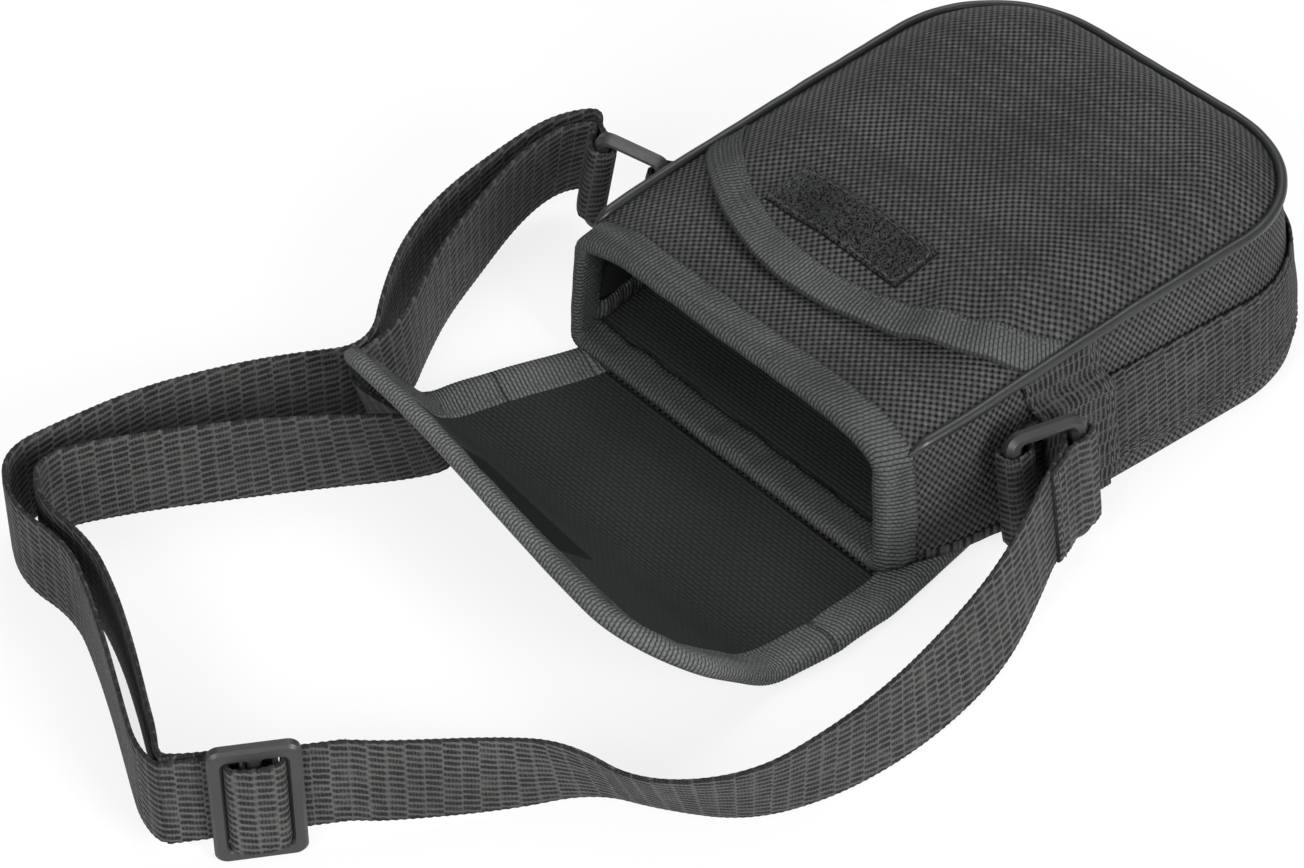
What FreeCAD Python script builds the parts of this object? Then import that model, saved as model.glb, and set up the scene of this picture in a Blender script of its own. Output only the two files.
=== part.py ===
# Padded nylon binocular pouch lying on its back with the flap open and the shoulder strap on edge.
# Millimetres. X runs across the case, Y from the mouth to the closed end, Z up.
# Everything is drawn with the mouth at Y = 0. Writing a piece moves it so that the origin
# is the middle of the back panel's flat face, on the surface that the pouch lies on.

import FreeCAD, Part
import math
import os

V = FreeCAD.Vector

# Case outline on the resting face
mouth_width = 114.0        # across the back at the mouth
body_width = 132.0         # across the back where the shoulders end
end_width = 136.0          # across the back where the end corners start
back_length = 160.0        # mouth to closed end along the back
end_corner_radius = 43.0   # plan radius of the closed end's corners, on the back
shoulder_length = 34.0     # how far the mouth's narrowing reaches

# How far the walls lean in per millimetre of height
mouth_lean_share = 0.055
body_lean_share = 0.21
end_lean_share = 0.19

# Front seam plane
seam_height_mouth = 36.5   # height of the front seam at the mouth
seam_height_end = 47.5     # height of the front seam at the closed end

# Wall layers
outer_fabric = 0.9
wall_foam = 2.0
lining = 0.5
layer_gap = 0.05           # running gap between layers that are sewn together
loop_seat = 0.2            # webbing loops to the wall they lie on
seat_gap = 0.3             # gap under pieces that only lie on others

# Front panel and pocket
front_crown = 4.4          # rise of the front panel above its seam
pocket_crown = 10.9        # rise of the pocket above the same seam
pocket_fabric = 0.9
pocket_tape = 0.6
pocket_edge_mid = 21.0     # mouth to the pocket's edge, on the centre line
pocket_edge_drop = 22.0    # how far the edge falls back at the sides
pocket_edge_half = 55.0    # half width that drop is measured at
pocket_binding_width = 10.5
patch_length = 48.0        # loop patch, across the pocket
patch_width = 15.0
patch_thickness = 1.6
patch_setback = 15.5       # pocket edge to the patch's near side
patch_offset = -3.0        # patch centre to the left of the centre line
patch_corner = 1.5

# Binding tape and piping
tape = 0.8
mouth_binding_width = 11.0
piping_diameter = 3.0
piping_outset = 0.9
piping_rise = 0.3
seam_tape_thickness = 1.4
seam_tape_height = 6.0

# Flap
flap_outer = 0.7
flap_core = 0.7
flap_lining = 0.4
flap_tape = 0.6
flap_binding_width = 10.0
flap_root_length = 30.0    # how far the flap reaches under the back panel
flap_root_width = 120.0
flap_width_hinge = 132.0   # across the flap at the mouth's hinge
flap_width_mid = 135.0
flap_width = 131.0         # across the flap at the crease
flap_lid_length = 43.0     # hinge to crease
flap_front_length = 46.0   # crease to tip
flap_corner_radius = 24.0
flap_rest_angle = 42.0     # how far the front part stands up off the lid, degrees
hinge_gap = 0.15           # from each hinge line to the pieces beside it
hook_length = 44.0
hook_width = 14.0
hook_thickness = 1.2
hook_setback = 11.5        # flap tip to the hook patch
lift_gap = 0.2             # flap root to the mouth's tape
ramp_length = 12.0         # where the back panel comes down behind the flap's root

# Webbing of the case and the strap
webbing_width = 25.0
webbing = 1.4
webbing_height = 18.0      # height of the webbing's centre line on the gusset
tab_width = 24.0
tab_start = 44.0           # mouth to the right cross tab
left_setback = 8.5         # how much further from the mouth the left tab and ring are
tab_overlap = 12.0         # how far webbing and loop tuck in under the tab
tab_room = 0.7             # tab's step to the webbing's edges

# Moulded rings
ring_bar = 4.2
ring_end_bar = 3.4
ring_pitch = 17.5          # between the two long bars' centres
ring_window = 27.2         # clear length of the window
ring_outer_radius = 4.5
ring_inner_radius = 1.0
ring_edge_flat = 1.25      # flat facets along the bars' edges
ring_place = 31.0          # mouth to the hinge bar
ring_stand_off = 4.0       # how far the stiff loop holds the hinge bar off the webbing
loop_dive = 9.0            # hinge bar to where both legs of the loop lie on the wall
loop_bend = 3.0            # bend radius of the legs there
ring_swing_right = 15.5    # the right ring lies back over its tab, degrees off the wall
ring_swing_left = 112.0    # the left ring is pulled outwards by the strap
wrap_gap = 0.25            # webbing to the bar it goes round

# Slider
slider_length = 20.6       # along the strap
slider_height = 34.0
slider_thickness = 3.2
slider_side_bar = 3.4
slider_end_bar = 3.6
slider_centre_bar = 3.0
slider_outer_radius = 3.0
slider_inner_radius = 1.0
slider_edge_flat = 0.7
slider_reach = 16.0        # from the slider's middle to where the strap runs start
tail_setback = 4.0         # the sewn tail's short leg ends this much before them
fold_radius = 1.1          # webbing folded through the slider

# Strap
end_leg = 20.0             # sewn short leg of the strap's end
end_tuck = 3.0             # free length beyond the short leg
exit_tilt_right = 27.0     # the strap's way out of the right ring, degrees off the wall
exit_tilt_left = 122.0     # the same at the left ring
turn_leg = 8.0             # both legs of the strap's turn round the left ring
step_gap = 0.3             # gap between stretches of the strap
tail_gap = 1.1             # the same where the inner layer turns away from the sewn tail
wrap_open = 1.6            # webbing leaves the bar at full width up to here
wrap_meet = 7.0            # and its two legs lie together from here
turn_height = 19.0         # height of the strap's centre line where it turns to the left ring

deep = 12.0                # overrun of cutting solids
same_point = 0.001         # points closer than this are one
case_half = back_length / 2

seam_slope = math.atan2(seam_height_end - seam_height_mouth, back_length)
wall = outer_fabric + wall_foam + lining
flap_stack = flap_outer + flap_core + flap_lining
flap_total = flap_stack + 2 * flap_tape
mouth_lift = flap_total + lift_gap + tape
tall = seam_height_end + pocket_crown + deep


# Shared helpers

def line(a, b):
    return Part.LineSegment(a, b).toShape()


def arc(a, m, b):
    return Part.Arc(a, m, b).toShape()


def box(low, high):
    return Part.makeBox(high[0] - low[0], high[1] - low[1], high[2] - low[2], V(*low))


def slab_y(low, high):
    return box((-body_width, low, -deep), (body_width, high, tall))


def slab_z(low, high):
    return box((-body_width, -deep, low), (body_width, back_length + deep, high))


def write(name, shape):
    shape = shape.copy()
    shape.translate(V(0, -case_half, 0))
    solids = shape.Solids
    volume = sum(s.Volume for s in solids)
    shape = solids[0] if len(solids) == 1 else Part.makeCompound(solids)
    shape.exportStep("parts/" + name + ".step")
    print(name, len(solids), "solids", round(volume, 1), "mm3", "valid" if shape.isValid() else "INVALID")


# Plan outlines: a U that is open at the mouth, closed by a line in front of it

def round_end(half_body, half_end, length, radius):
    # touching points and middle of an end corner that is tangent to the side and to the end
    slant = 0
    for _ in range(4):
        touch_y = length - radius - radius * math.sin(slant)
        slant = math.atan2(half_end - half_body, touch_y - shoulder_length)
    centre_x = half_end - radius * math.cos(slant)
    turn = math.radians(45) - slant / 2
    middle = (centre_x + radius * math.cos(turn), length - radius + radius * math.sin(turn))
    return (half_end, touch_y), middle, (centre_x, length), slant


def plan_wire(half_mouth, half_body, half_end, length, radius, z, reach):
    touch, corner, end, slant = round_end(half_body, half_end, length, radius)
    chord = math.hypot(half_body - half_mouth, shoulder_length)
    chord_slant = math.atan2(half_body - half_mouth, shoulder_length)
    bow = chord / 2 * math.tan((chord_slant - slant) / 2)
    shoulder = ((half_mouth + half_body) / 2 + bow * math.cos(chord_slant),
                shoulder_length / 2 - bow * math.sin(chord_slant))
    right = [(half_mouth, -reach), (half_mouth, 0), (half_body, shoulder_length), touch, end]
    r = [V(x, y, z) for x, y in right]
    m = [V(-x, y, z) for x, y in right]
    edges = [
        line(r[0], r[1]),
        arc(r[1], V(shoulder[0], shoulder[1], z), r[2]),
        line(r[2], r[3]),
        arc(r[3], V(corner[0], corner[1], z), r[4]),
        line(r[4], m[4]),
        arc(m[4], V(-corner[0], corner[1], z), m[3]),
        line(m[3], m[2]),
        arc(m[2], V(-shoulder[0], shoulder[1], z), m[1]),
        line(m[1], m[0]),
        line(m[0], r[0]),
    ]
    return Part.Wire(edges)


def wall_wire(z, inset):
    return plan_wire(
        mouth_width / 2 - mouth_lean_share * z - inset,
        body_width / 2 - body_lean_share * z - inset,
        end_width / 2 - end_lean_share * z - inset,
        back_length - end_lean_share * z - inset,
        end_corner_radius - end_lean_share * z - inset,
        z,
        deep + inset,
    )


def leaning_body(inset):
    # everything inside the wall surface that lies this far in from the outside
    return Part.makeLoft([wall_wire(-deep, inset), wall_wire(tall, inset)], True, True)


def seam_at(y):
    return seam_height_mouth + y * math.tan(seam_slope)


def seam_cut(drop):
    # everything above the seam plane, lowered by drop
    cut = box((-body_width, -deep - back_length, 0), (body_width, 2 * back_length, tall))
    cut.rotate(V(0, 0, 0), V(1, 0, 0), math.degrees(seam_slope))
    cut.translate(V(0, 0, seam_height_mouth - drop))
    return cut


def back_ground(rise):
    # everything under the back's layer that lies this far above the outer face
    far = back_length + deep
    low = -2 * deep
    ramp = flap_root_length + lift_gap
    points = [
        V(0, -2 * deep, low),
        V(0, -2 * deep, mouth_lift + rise),
        V(0, ramp, mouth_lift + rise),
        V(0, ramp + ramp_length, rise),
        V(0, far, rise),
        V(0, far, low),
    ]
    face = Part.Face(Part.makePolygon(points + points[:1]))
    ground = face.extrude(V(2 * body_width, 0, 0))
    ground.translate(V(-body_width, 0, 0))
    return ground


# Front panel and pocket are drawn flat, in the seam plane, and laid on it

def lay(shape):
    shape.rotate(V(0, 0, 0), V(1, 0, 0), math.degrees(seam_slope))
    shape.translate(V(0, 0, seam_height_mouth))
    return shape


seam_length = (back_length - end_lean_share * seam_height_end) / math.cos(seam_slope)


def seam_wire(z, inset, reach=deep):
    body_height = seam_at(shoulder_length)
    return plan_wire(
        mouth_width / 2 - mouth_lean_share * seam_height_mouth - inset,
        body_width / 2 - body_lean_share * body_height - inset,
        end_width / 2 - end_lean_share * seam_height_end - inset,
        seam_length - inset,
        end_corner_radius - end_lean_share * seam_height_end - inset,
        z,
        reach,
    )


crown_inset_shares = (0.0, 0.2, 0.55, 1.0)
crown_rise_shares = (0.0, 0.42, 0.83, 1.0)
crown_reach = 25.0         # how far in from the seam the crown keeps rising


def crowned(crown, lift):
    # the space under a crowned panel whose top is this far above the drawn one
    wires = []
    for inset_share, rise_share in zip(crown_inset_shares, crown_rise_shares):
        wires.append(seam_wire(crown * rise_share + lift, crown_reach * inset_share))
    base = seam_wire(lift - deep, 0)
    return Part.makeLoft([base, wires[0]], True, True).fuse(Part.makeLoft(wires, True, True))


def seam_prism(inset):
    return Part.Face(seam_wire(-deep, inset)).extrude(V(0, 0, 3 * deep))


def pocket_edge_region(offset):
    # everything beyond the pocket's curved edge, moved towards the closed end by offset
    sag = pocket_edge_drop
    radius = (pocket_edge_half ** 2 + sag ** 2) / (2 * sag)
    disc = Part.makeCylinder(radius - offset, 3 * deep, V(0, pocket_edge_mid + radius, -deep))
    rest = box((-body_width, pocket_edge_mid + radius, -deep), (body_width, 2 * back_length, 2 * deep))
    return disc.fuse(rest)


# Rounded plates

def rounded_plate(length, width, height, radius, low):
    plate = Part.makeBox(length, width, height, V(-length / 2, 0, low))
    upright = [e for e in plate.Edges if abs(e.Vertexes[0].Z - e.Vertexes[-1].Z) > height / 2]
    return plate.makeFillet(radius, upright)


# Ribbons of webbing: a flat path of straight runs and tangent arcs with a thickness

def ribbon(points, radii, thickness, low, high, origin, along, across, up):
    # points lie in the plane of along and across; the ribbon stands from low to high on up
    flat = [V(p[0], p[1], 0) for p in points]
    runs = [(flat[i + 1] - flat[i]).normalize() for i in range(len(flat) - 1)]
    length = sum((flat[i + 1] - flat[i]).Length for i in range(len(flat) - 1))

    def side(sign):
        pieces = []
        start = flat[0] + V(-runs[0].y, runs[0].x, 0) * (sign * thickness / 2)
        for i in range(1, len(flat) - 1):
            a, b = runs[i - 1], runs[i]
            turn = a.getAngle(b)
            left = 1 if a.x * b.y - a.y * b.x > 0 else -1
            back = radii[i - 1] * math.tan(turn / 2)
            centre = flat[i] - a * back + V(-a.y, a.x, 0) * (left * radii[i - 1])
            size = radii[i - 1] - left * sign * thickness / 2
            first = centre - V(-a.y, a.x, 0) * (left * size)
            last = centre - V(-b.y, b.x, 0) * (left * size)
            middle = centre - (V(-a.y, a.x, 0) + V(-b.y, b.x, 0)).normalize() * (left * size)
            if (first - start).Length > same_point:
                pieces.append(("line", start, first))
            pieces.append(("arc", first, middle, last))
            start = last
        pieces.append(("line", start, flat[-1] + V(-runs[-1].y, runs[-1].x, 0) * (sign * thickness / 2)))
        return pieces

    def place(p):
        return origin + along * p.x + across * p.y + up * low

    left_side = side(1)
    right_side = side(-1)
    edges = []
    for pieces in (left_side, right_side):
        for piece in pieces:
            spots = [place(p) for p in piece[1:]]
            edges.append(line(*spots) if piece[0] == "line" else arc(*spots))
    edges.append(line(place(left_side[0][1]), place(right_side[0][1])))
    edges.append(line(place(left_side[-1][-1]), place(right_side[-1][-1])))
    face = Part.Face(Part.Wire(Part.__sortEdges__(edges)))
    lost = sum((2 * math.tan(runs[i - 1].getAngle(runs[i]) / 2) - runs[i - 1].getAngle(runs[i])) * radii[i - 1]
               for i in range(1, len(flat) - 1))
    solid = face.extrude(up * (high - low))
    ratio = solid.Volume / ((length - lost) * thickness * (high - low))
    return solid, length - lost, ratio


def bend_radii(points):
    # each arc is as large as its two runs allow
    radii = []
    for i in range(1, len(points) - 1):
        a = V(points[i][0] - points[i - 1][0], points[i][1] - points[i - 1][1], 0)
        b = V(points[i + 1][0] - points[i][0], points[i + 1][1] - points[i][1], 0)
        radii.append(0.45 * min(a.Length, b.Length) / math.tan(a.getAngle(b) / 2))
    return radii


# Case walls

inside = {inset: leaning_body(inset) for inset in (
    0.0, outer_fabric, outer_fabric + wall_foam, wall, wall + layer_gap)}
above_seam = seam_cut(0)
in_front = slab_y(-4 * deep, 0)
ground_outer = back_ground(outer_fabric)


def wall_layer(outer_inset, inner_inset):
    return inside[outer_inset].cut(inside[inner_inset]).cut(ground_outer).cut(above_seam).cut(in_front)


gusset_band = wall_layer(0.0, outer_fabric)
gusset_foam = wall_layer(outer_fabric, outer_fabric + wall_foam)
gusset_lining = wall_layer(outer_fabric + wall_foam, wall)
core_inside = inside[wall + layer_gap]


def back_layer(low, high, bound):
    return back_ground(high).cut(back_ground(low)).common(bound).cut(in_front)


back_panel = back_layer(0.0, outer_fabric, inside[0.0])
back_foam = back_layer(outer_fabric, outer_fabric + wall_foam, core_inside)
back_lining = back_layer(outer_fabric + wall_foam, wall, core_inside)

front_shell = crowned(front_crown, 0)
seam_inner = seam_prism(wall + layer_gap)


def front_layer(low, high, bound):
    layer = crowned(front_crown, -low).cut(crowned(front_crown, -high)).common(bound)
    return lay(layer).cut(in_front)


seam_face_up = box((-body_width, -deep, 0), (body_width, 2 * back_length, 4 * deep))
front_panel = front_layer(0.0, outer_fabric, seam_face_up)
front_foam = front_layer(outer_fabric, outer_fabric + wall_foam, seam_inner)
front_lining = front_layer(outer_fabric + wall_foam, wall, seam_inner)

# Pocket, its bound edge and the loop patch

beyond_edge = pocket_edge_region(0)
pocket_shell = crowned(pocket_crown, 0).cut(crowned(pocket_crown, -pocket_fabric))
front_clear = crowned(front_crown, layer_gap)
pocket_flat = pocket_shell.cut(front_clear).common(beyond_edge)
edge_band = pocket_edge_region(-pocket_tape).cut(pocket_edge_region(pocket_binding_width))
binding_shell = crowned(pocket_crown, pocket_tape).cut(crowned(pocket_crown, -pocket_fabric - pocket_tape))
pocket_binding_flat = binding_shell.common(edge_band).cut(crowned(front_crown, layer_gap)).cut(
    pocket_shell.common(beyond_edge))
pocket_binding_cutter = crowned(pocket_crown, pocket_tape + layer_gap).common(
    pocket_edge_region(-pocket_tape - layer_gap).cut(pocket_edge_region(pocket_binding_width + layer_gap)))
pocket_binding_flat = pocket_binding_flat.common(seam_prism(-pocket_tape)).common(seam_face_up)
patch_y = pocket_edge_mid + patch_setback
patch = rounded_plate(patch_length, patch_width, patch_thickness, patch_corner, pocket_crown + layer_gap)
patch.translate(V(patch_offset, patch_y, 0))
pocket_panel = lay(pocket_flat)
pocket_binding = lay(pocket_binding_flat)
loop_patch = lay(patch)

# Piping along the front seam, from the mouth's binding round to its other side


def piping():
    outline = seam_wire(piping_rise, -piping_outset)
    start = mouth_binding_width + layer_gap
    path = Part.Wire(Part.__sortEdges__([e for e in outline.Edges if e.CenterOfMass.y > 0]))
    first = path.OrderedEdges[0]
    begin = first.valueAt(first.FirstParameter)
    ring = Part.Wire(Part.makeCircle(piping_diameter / 2, begin, first.tangentAt(first.FirstParameter)))
    tube = path.makePipeShell([ring], True, False)
    tube = tube.cut(box((-body_width, -2 * deep, -deep), (body_width, start, deep)))
    tube = tube.cut(crowned(pocket_crown, layer_gap).common(beyond_edge))
    tube = tube.cut(front_clear).cut(pocket_binding_cutter)
    return lay(tube).cut(leaning_body(-layer_gap).cut(above_seam))


front_piping = piping()

# Binding tape folded over the mouth's rim


def mouth_binding():
    outer = leaning_body(-tape).cut(back_ground(-tape)).cut(above_seam)
    outer_top = lay(crowned(front_crown, tape).common(seam_prism(-tape)).common(seam_face_up))
    inner = leaning_body(wall + tape).cut(back_ground(wall + tape))
    inner_top = lay(crowned(front_crown, -wall - tape))
    reach = slab_y(-tape, mouth_binding_width)
    hole = inner.cut(above_seam).cut(seam_cut(wall + tape)).fuse(
        inner_top.common(leaning_body(wall + tape)).cut(back_ground(wall + tape)))
    sleeve = outer.fuse(outer_top).common(reach).cut(hole)
    walls = (inside[0.0].cut(back_ground(0)).cut(above_seam)).fuse(
        lay(crowned(front_crown, 0).common(seam_face_up)))
    room = leaning_body(wall).cut(back_ground(wall)).cut(seam_cut(wall)).fuse(
        lay(crowned(front_crown, -wall)).common(leaning_body(wall)).cut(back_ground(wall)))
    return sleeve.cut(walls.cut(room).cut(in_front))


binding = mouth_binding()

# Bound seams inside, along the foot and the head of the gusset

tape_ring = leaning_body(wall + layer_gap).cut(leaning_body(wall + seam_tape_thickness))
tape_range = slab_y(mouth_binding_width + layer_gap, back_length)
back_seam_tape = tape_ring.common(back_ground(wall + seam_tape_height)).cut(
    back_ground(wall + layer_gap)).common(tape_range)
front_seam_tape = tape_ring.cut(seam_cut(wall + layer_gap)).common(
    seam_cut(wall + seam_tape_height)).common(tape_range)

# Webbing round the gusset and the two cross tabs over its ends


def skin(low, high):
    return leaning_body(-high).cut(leaning_body(-low))


webbing_low = webbing_height - webbing_width / 2
webbing_high = webbing_height + webbing_width / 2
tab_end = tab_start + tab_width
one_layer = layer_gap + webbing
webbing_start = tab_start + tab_overlap
left_side = box((-2 * body_width, -2 * deep, -deep), (0, webbing_start + left_setback, tall))
gusset_webbing = skin(layer_gap, one_layer).common(slab_z(webbing_low, webbing_high)).common(
    slab_y(webbing_start, back_length + deep)).cut(left_side)


def cross_tabs(setback):
    # the strip crosses the loop's legs and the webbing on a raised step
    span = slab_y(tab_start + setback, tab_end + setback)
    ends = slab_z(seat_gap, seam_height_end)
    room = loop_seat + webbing + one_layer + layer_gap
    tabs = skin(layer_gap, room + webbing).common(span).common(ends)
    tabs = tabs.cut(skin(layer_gap, room).common(slab_z(webbing_low - tab_room, webbing_high + tab_room)))
    over = slab_z(webbing_low - tab_room - webbing, webbing_high + tab_room + webbing)
    tabs = tabs.cut(skin(one_layer, room + webbing + deep).cut(over))
    tabs = tabs.cut(seam_cut(piping_diameter / 2 + layer_gap))
    sides = sorted(tabs.Solids, key=lambda s: s.CenterOfMass.x)
    return sides[0], sides[-1]


cross_tab_left = cross_tabs(left_setback)[0]
cross_tab_right = cross_tabs(0)[1]

# The right side's wall frame: along the wall, up the wall and out of it


def wall_frame(y, z):
    share = (y - shoulder_length) / (back_length - end_corner_radius - shoulder_length)
    half_low = body_width / 2 + (end_width - body_width) / 2 * share
    lean = body_lean_share + (end_lean_share - body_lean_share) * share
    along = V((end_width - body_width) / 2, back_length - end_corner_radius - shoulder_length, 0).normalize()
    up = V(-lean, 0, 1).normalize()
    out = along.cross(up)
    up = out.cross(along)
    return V(half_low - lean * z, y, z), along, up, out.normalize()


bar_radius = ring_bar / 2
wrap_inner = bar_radius + wrap_gap
bar_a_out = loop_seat + webbing + wrap_inner + ring_stand_off
half_webbing = webbing_width / 2


def ring_loop(ring_origin, wall_along, wall_up, wall_out):
    reach = tab_start + tab_overlap - ring_place - layer_gap
    middle = wrap_inner + webbing / 2
    low = loop_seat + webbing / 2
    high = low + one_layer
    points = [
        (reach, low),
        (loop_dive, low),
        (wrap_open, bar_a_out - middle),
        (-middle, bar_a_out - middle),
        (-middle, bar_a_out + middle),
        (wrap_open, bar_a_out + middle),
        (loop_dive, high),
        (reach, high),
    ]
    radii = [loop_bend, middle, middle, middle, middle, loop_bend]
    solid, length, ratio = ribbon(points, radii, webbing, -half_webbing, half_webbing,
                                  ring_origin, wall_along, wall_out, wall_up)
    print("ring loop", round(length, 1), "mm, volume ratio", round(ratio, 4))
    return solid


# Moulded ring, drawn flat with its hinge bar on the up axis


def flat_ring():
    width = ring_pitch + ring_bar
    height = ring_window + 2 * ring_end_bar
    outer = Part.makeBox(width, ring_bar, height, V(-bar_radius, -bar_radius, -height / 2))
    window = Part.makeBox(ring_pitch - ring_bar, ring_bar, ring_window, V(bar_radius, -bar_radius, -ring_window / 2))

    def cross_edges(shape):
        return [e for e in shape.Edges if abs(e.Vertexes[0].Y - e.Vertexes[-1].Y) > bar_radius]

    outer = outer.makeFillet(ring_outer_radius, cross_edges(outer))
    window = window.makeFillet(ring_inner_radius, cross_edges(window))
    ring = outer.cut(window)
    rims = [e for e in ring.Edges if abs(abs(e.CenterOfMass.y) - bar_radius) < bar_radius / 100]
    return ring.makeChamfer(ring_edge_flat, rims)


def set_in_frame(shape, origin, along, across):
    up = along.cross(across)
    matrix = FreeCAD.Matrix(
        along.x, across.x, up.x, origin.x,
        along.y, across.y, up.y, origin.y,
        along.z, across.z, up.z, origin.z,
        0, 0, 0, 1)
    placed = shape.copy()
    placed.Placement = FreeCAD.Placement(matrix)
    return placed


def swung(frame, angle):
    turn = math.radians(angle)
    origin, wall_along, wall_up, wall_out = frame
    along = wall_along * math.cos(turn) + wall_out * math.sin(turn)
    across = wall_out * math.cos(turn) - wall_along * math.sin(turn)
    return along, across


def mirrored(shape):
    return shape.mirror(V(0, 0, 0), V(1, 0, 0))


right_frame = wall_frame(ring_place, webbing_height)
left_frame = wall_frame(ring_place + left_setback, webbing_height)
hinge_right = right_frame[0] + right_frame[3] * bar_a_out
hinge_left = left_frame[0] + left_frame[3] * bar_a_out
ring_right_along, ring_right_across = swung(right_frame, ring_swing_right)
ring_left_along, ring_left_across = swung(left_frame, ring_swing_left)
ring_right = set_in_frame(flat_ring(), hinge_right, ring_right_along, ring_right_across)
ring_left = mirrored(set_in_frame(flat_ring(), hinge_left, ring_left_along, ring_left_across))
ring_loop_right = ring_loop(*right_frame)
ring_loop_left = mirrored(ring_loop(*left_frame))

# Flap: one plan outline in three parts, each a stack of layers in a folded tape


def flap_half(y):
    if y >= 0:
        return (flap_width_hinge + (flap_root_width - flap_width_hinge) * y / flap_root_length) / 2
    return 0


def root_wire(inset, z):
    half_near = flap_width_hinge / 2 - inset
    half_far = flap_root_width / 2 - inset
    far = flap_root_length - inset
    near = -tape - lift_gap + hinge_gap
    points = [V(half_near, near, z), V(half_far, far, z), V(-half_far, far, z), V(-half_near, near, z)]
    return Part.makePolygon(points + points[:1])


hinge_y = -tape - lift_gap - hinge_gap
crease_y = hinge_y - flap_lid_length


def lid_wire(inset, z):
    near = hinge_y - hinge_gap
    far = crease_y + hinge_gap
    half_near = flap_width_hinge / 2 - inset
    half_far = flap_width / 2 - inset
    half_mid = flap_width_mid / 2 - inset
    middle = (near + far) / 2
    edges = [
        arc(V(half_near, near, z), V(half_mid, middle, z), V(half_far, far, z)),
        line(V(half_far, far, z), V(-half_far, far, z)),
        arc(V(-half_far, far, z), V(-half_mid, middle, z), V(-half_near, near, z)),
        line(V(-half_near, near, z), V(half_near, near, z)),
    ]
    return Part.Wire(edges)


def front_wire(inset, z):
    near = crease_y - hinge_gap
    half = flap_width / 2 - inset
    tip = crease_y - flap_front_length + inset
    radius = flap_corner_radius - inset
    turn = radius * (1 - math.cos(math.radians(45)))
    edges = [
        line(V(half, near, z), V(half, tip + radius, z)),
        arc(V(half, tip + radius, z), V(half - turn, tip + turn, z), V(half - radius, tip, z)),
        line(V(half - radius, tip, z), V(-half + radius, tip, z)),
        arc(V(-half + radius, tip, z), V(-half + turn, tip + turn, z), V(-half, tip + radius, z)),
        line(V(-half, tip + radius, z), V(-half, near, z)),
        line(V(-half, near, z), V(half, near, z)),
    ]
    return Part.Wire(edges)


flap_low = {
    "outer": flap_tape,
    "core": flap_tape + flap_outer,
    "lining": flap_tape + flap_outer + flap_core,
    "top": flap_tape + flap_stack,
}


def plate(wire_of, inset, low, high):
    return Part.Face(wire_of(inset, low)).extrude(V(0, 0, high - low))


def flap_part(wire_of):
    skin_inset = flap_tape + layer_gap
    layers = {
        "outer": plate(wire_of, skin_inset, flap_low["outer"], flap_low["core"]),
        "core": plate(wire_of, skin_inset, flap_low["core"], flap_low["lining"]),
        "lining": plate(wire_of, skin_inset, flap_low["lining"], flap_low["top"]),
    }
    whole = plate(wire_of, 0, 0, flap_total)
    stack = plate(wire_of, skin_inset, flap_low["outer"], flap_low["top"])
    middle = plate(wire_of, flap_binding_width, -deep, deep)
    return layers, whole, stack, middle


def stretch_to(shape, low, high):
    # the middle that a tape leaves open runs right through at the hinge lines
    return shape.fuse(box((shape.BoundBox.XMin, low, -deep), (shape.BoundBox.XMax, high, deep)))


def root_pieces():
    layers, whole, stack, middle = flap_part(root_wire)
    near = -tape - lift_gap + hinge_gap
    opened = box((-flap_width_hinge / 2 + flap_binding_width, near - deep, -deep),
                 (flap_width_hinge / 2 - flap_binding_width, near + flap_root_length / 2, deep))
    through = plate(root_wire, flap_tape + layer_gap, flap_low["outer"], flap_low["top"])
    tape_piece = whole.cut(through).cut(middle).cut(opened).cut(
        box((-body_width, near - deep, flap_low["outer"]), (body_width, near + flap_tape * 2, flap_low["top"])))
    anchor = layers["outer"].fuse([layers["core"], layers["lining"]]).removeSplitter()
    return anchor, tape_piece


flap_anchor, flap_anchor_binding = root_pieces()


def lid_pieces():
    layers, whole, stack, middle = flap_part(lid_wire)
    far = crease_y + hinge_gap
    near = hinge_y - hinge_gap
    opened = stretch_to(middle, far - deep, near + deep)
    sides = whole.cut(stack).cut(opened)
    sides = sides.cut(box((-body_width, far - deep, flap_low["outer"]),
                          (body_width, far + flap_tape * 2, flap_low["top"])))
    sides = sides.cut(box((-body_width, near - flap_tape * 2, flap_low["outer"]),
                          (body_width, near + deep, flap_low["top"])))
    return layers, sides


def front_pieces():
    layers, whole, stack, middle = flap_part(front_wire)
    near = crease_y - hinge_gap
    opened = middle.fuse(box((middle.BoundBox.XMin, near - flap_binding_width * 2, -deep),
                             (middle.BoundBox.XMax, near + deep, deep)))
    rim = whole.cut(stack).cut(opened)
    rim = rim.cut(box((-body_width, near - flap_tape * 2, flap_low["outer"]),
                      (body_width, near + deep, flap_low["top"])))
    hook = rounded_plate(hook_length, hook_width, hook_thickness, patch_corner, flap_low["top"] + layer_gap)
    hook.translate(V(patch_offset, crease_y - flap_front_length + hook_setback, 0))
    return layers, rim, hook


crease_axis = V(0, crease_y, flap_total)


def raised(shape):
    shape.rotate(crease_axis, V(-1, 0, 0), flap_rest_angle)
    return shape


lid_layers, flap_lid_binding = lid_pieces()
front_layers, flap_front_binding_flat, hook_flat = front_pieces()
flap_front = {name: raised(shape) for name, shape in front_layers.items()}
flap_front_binding = raised(flap_front_binding_flat)
hook_patch = raised(hook_flat)

# Slider frame: two side bars, two end bars and a centre bar that the webbing goes over

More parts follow.
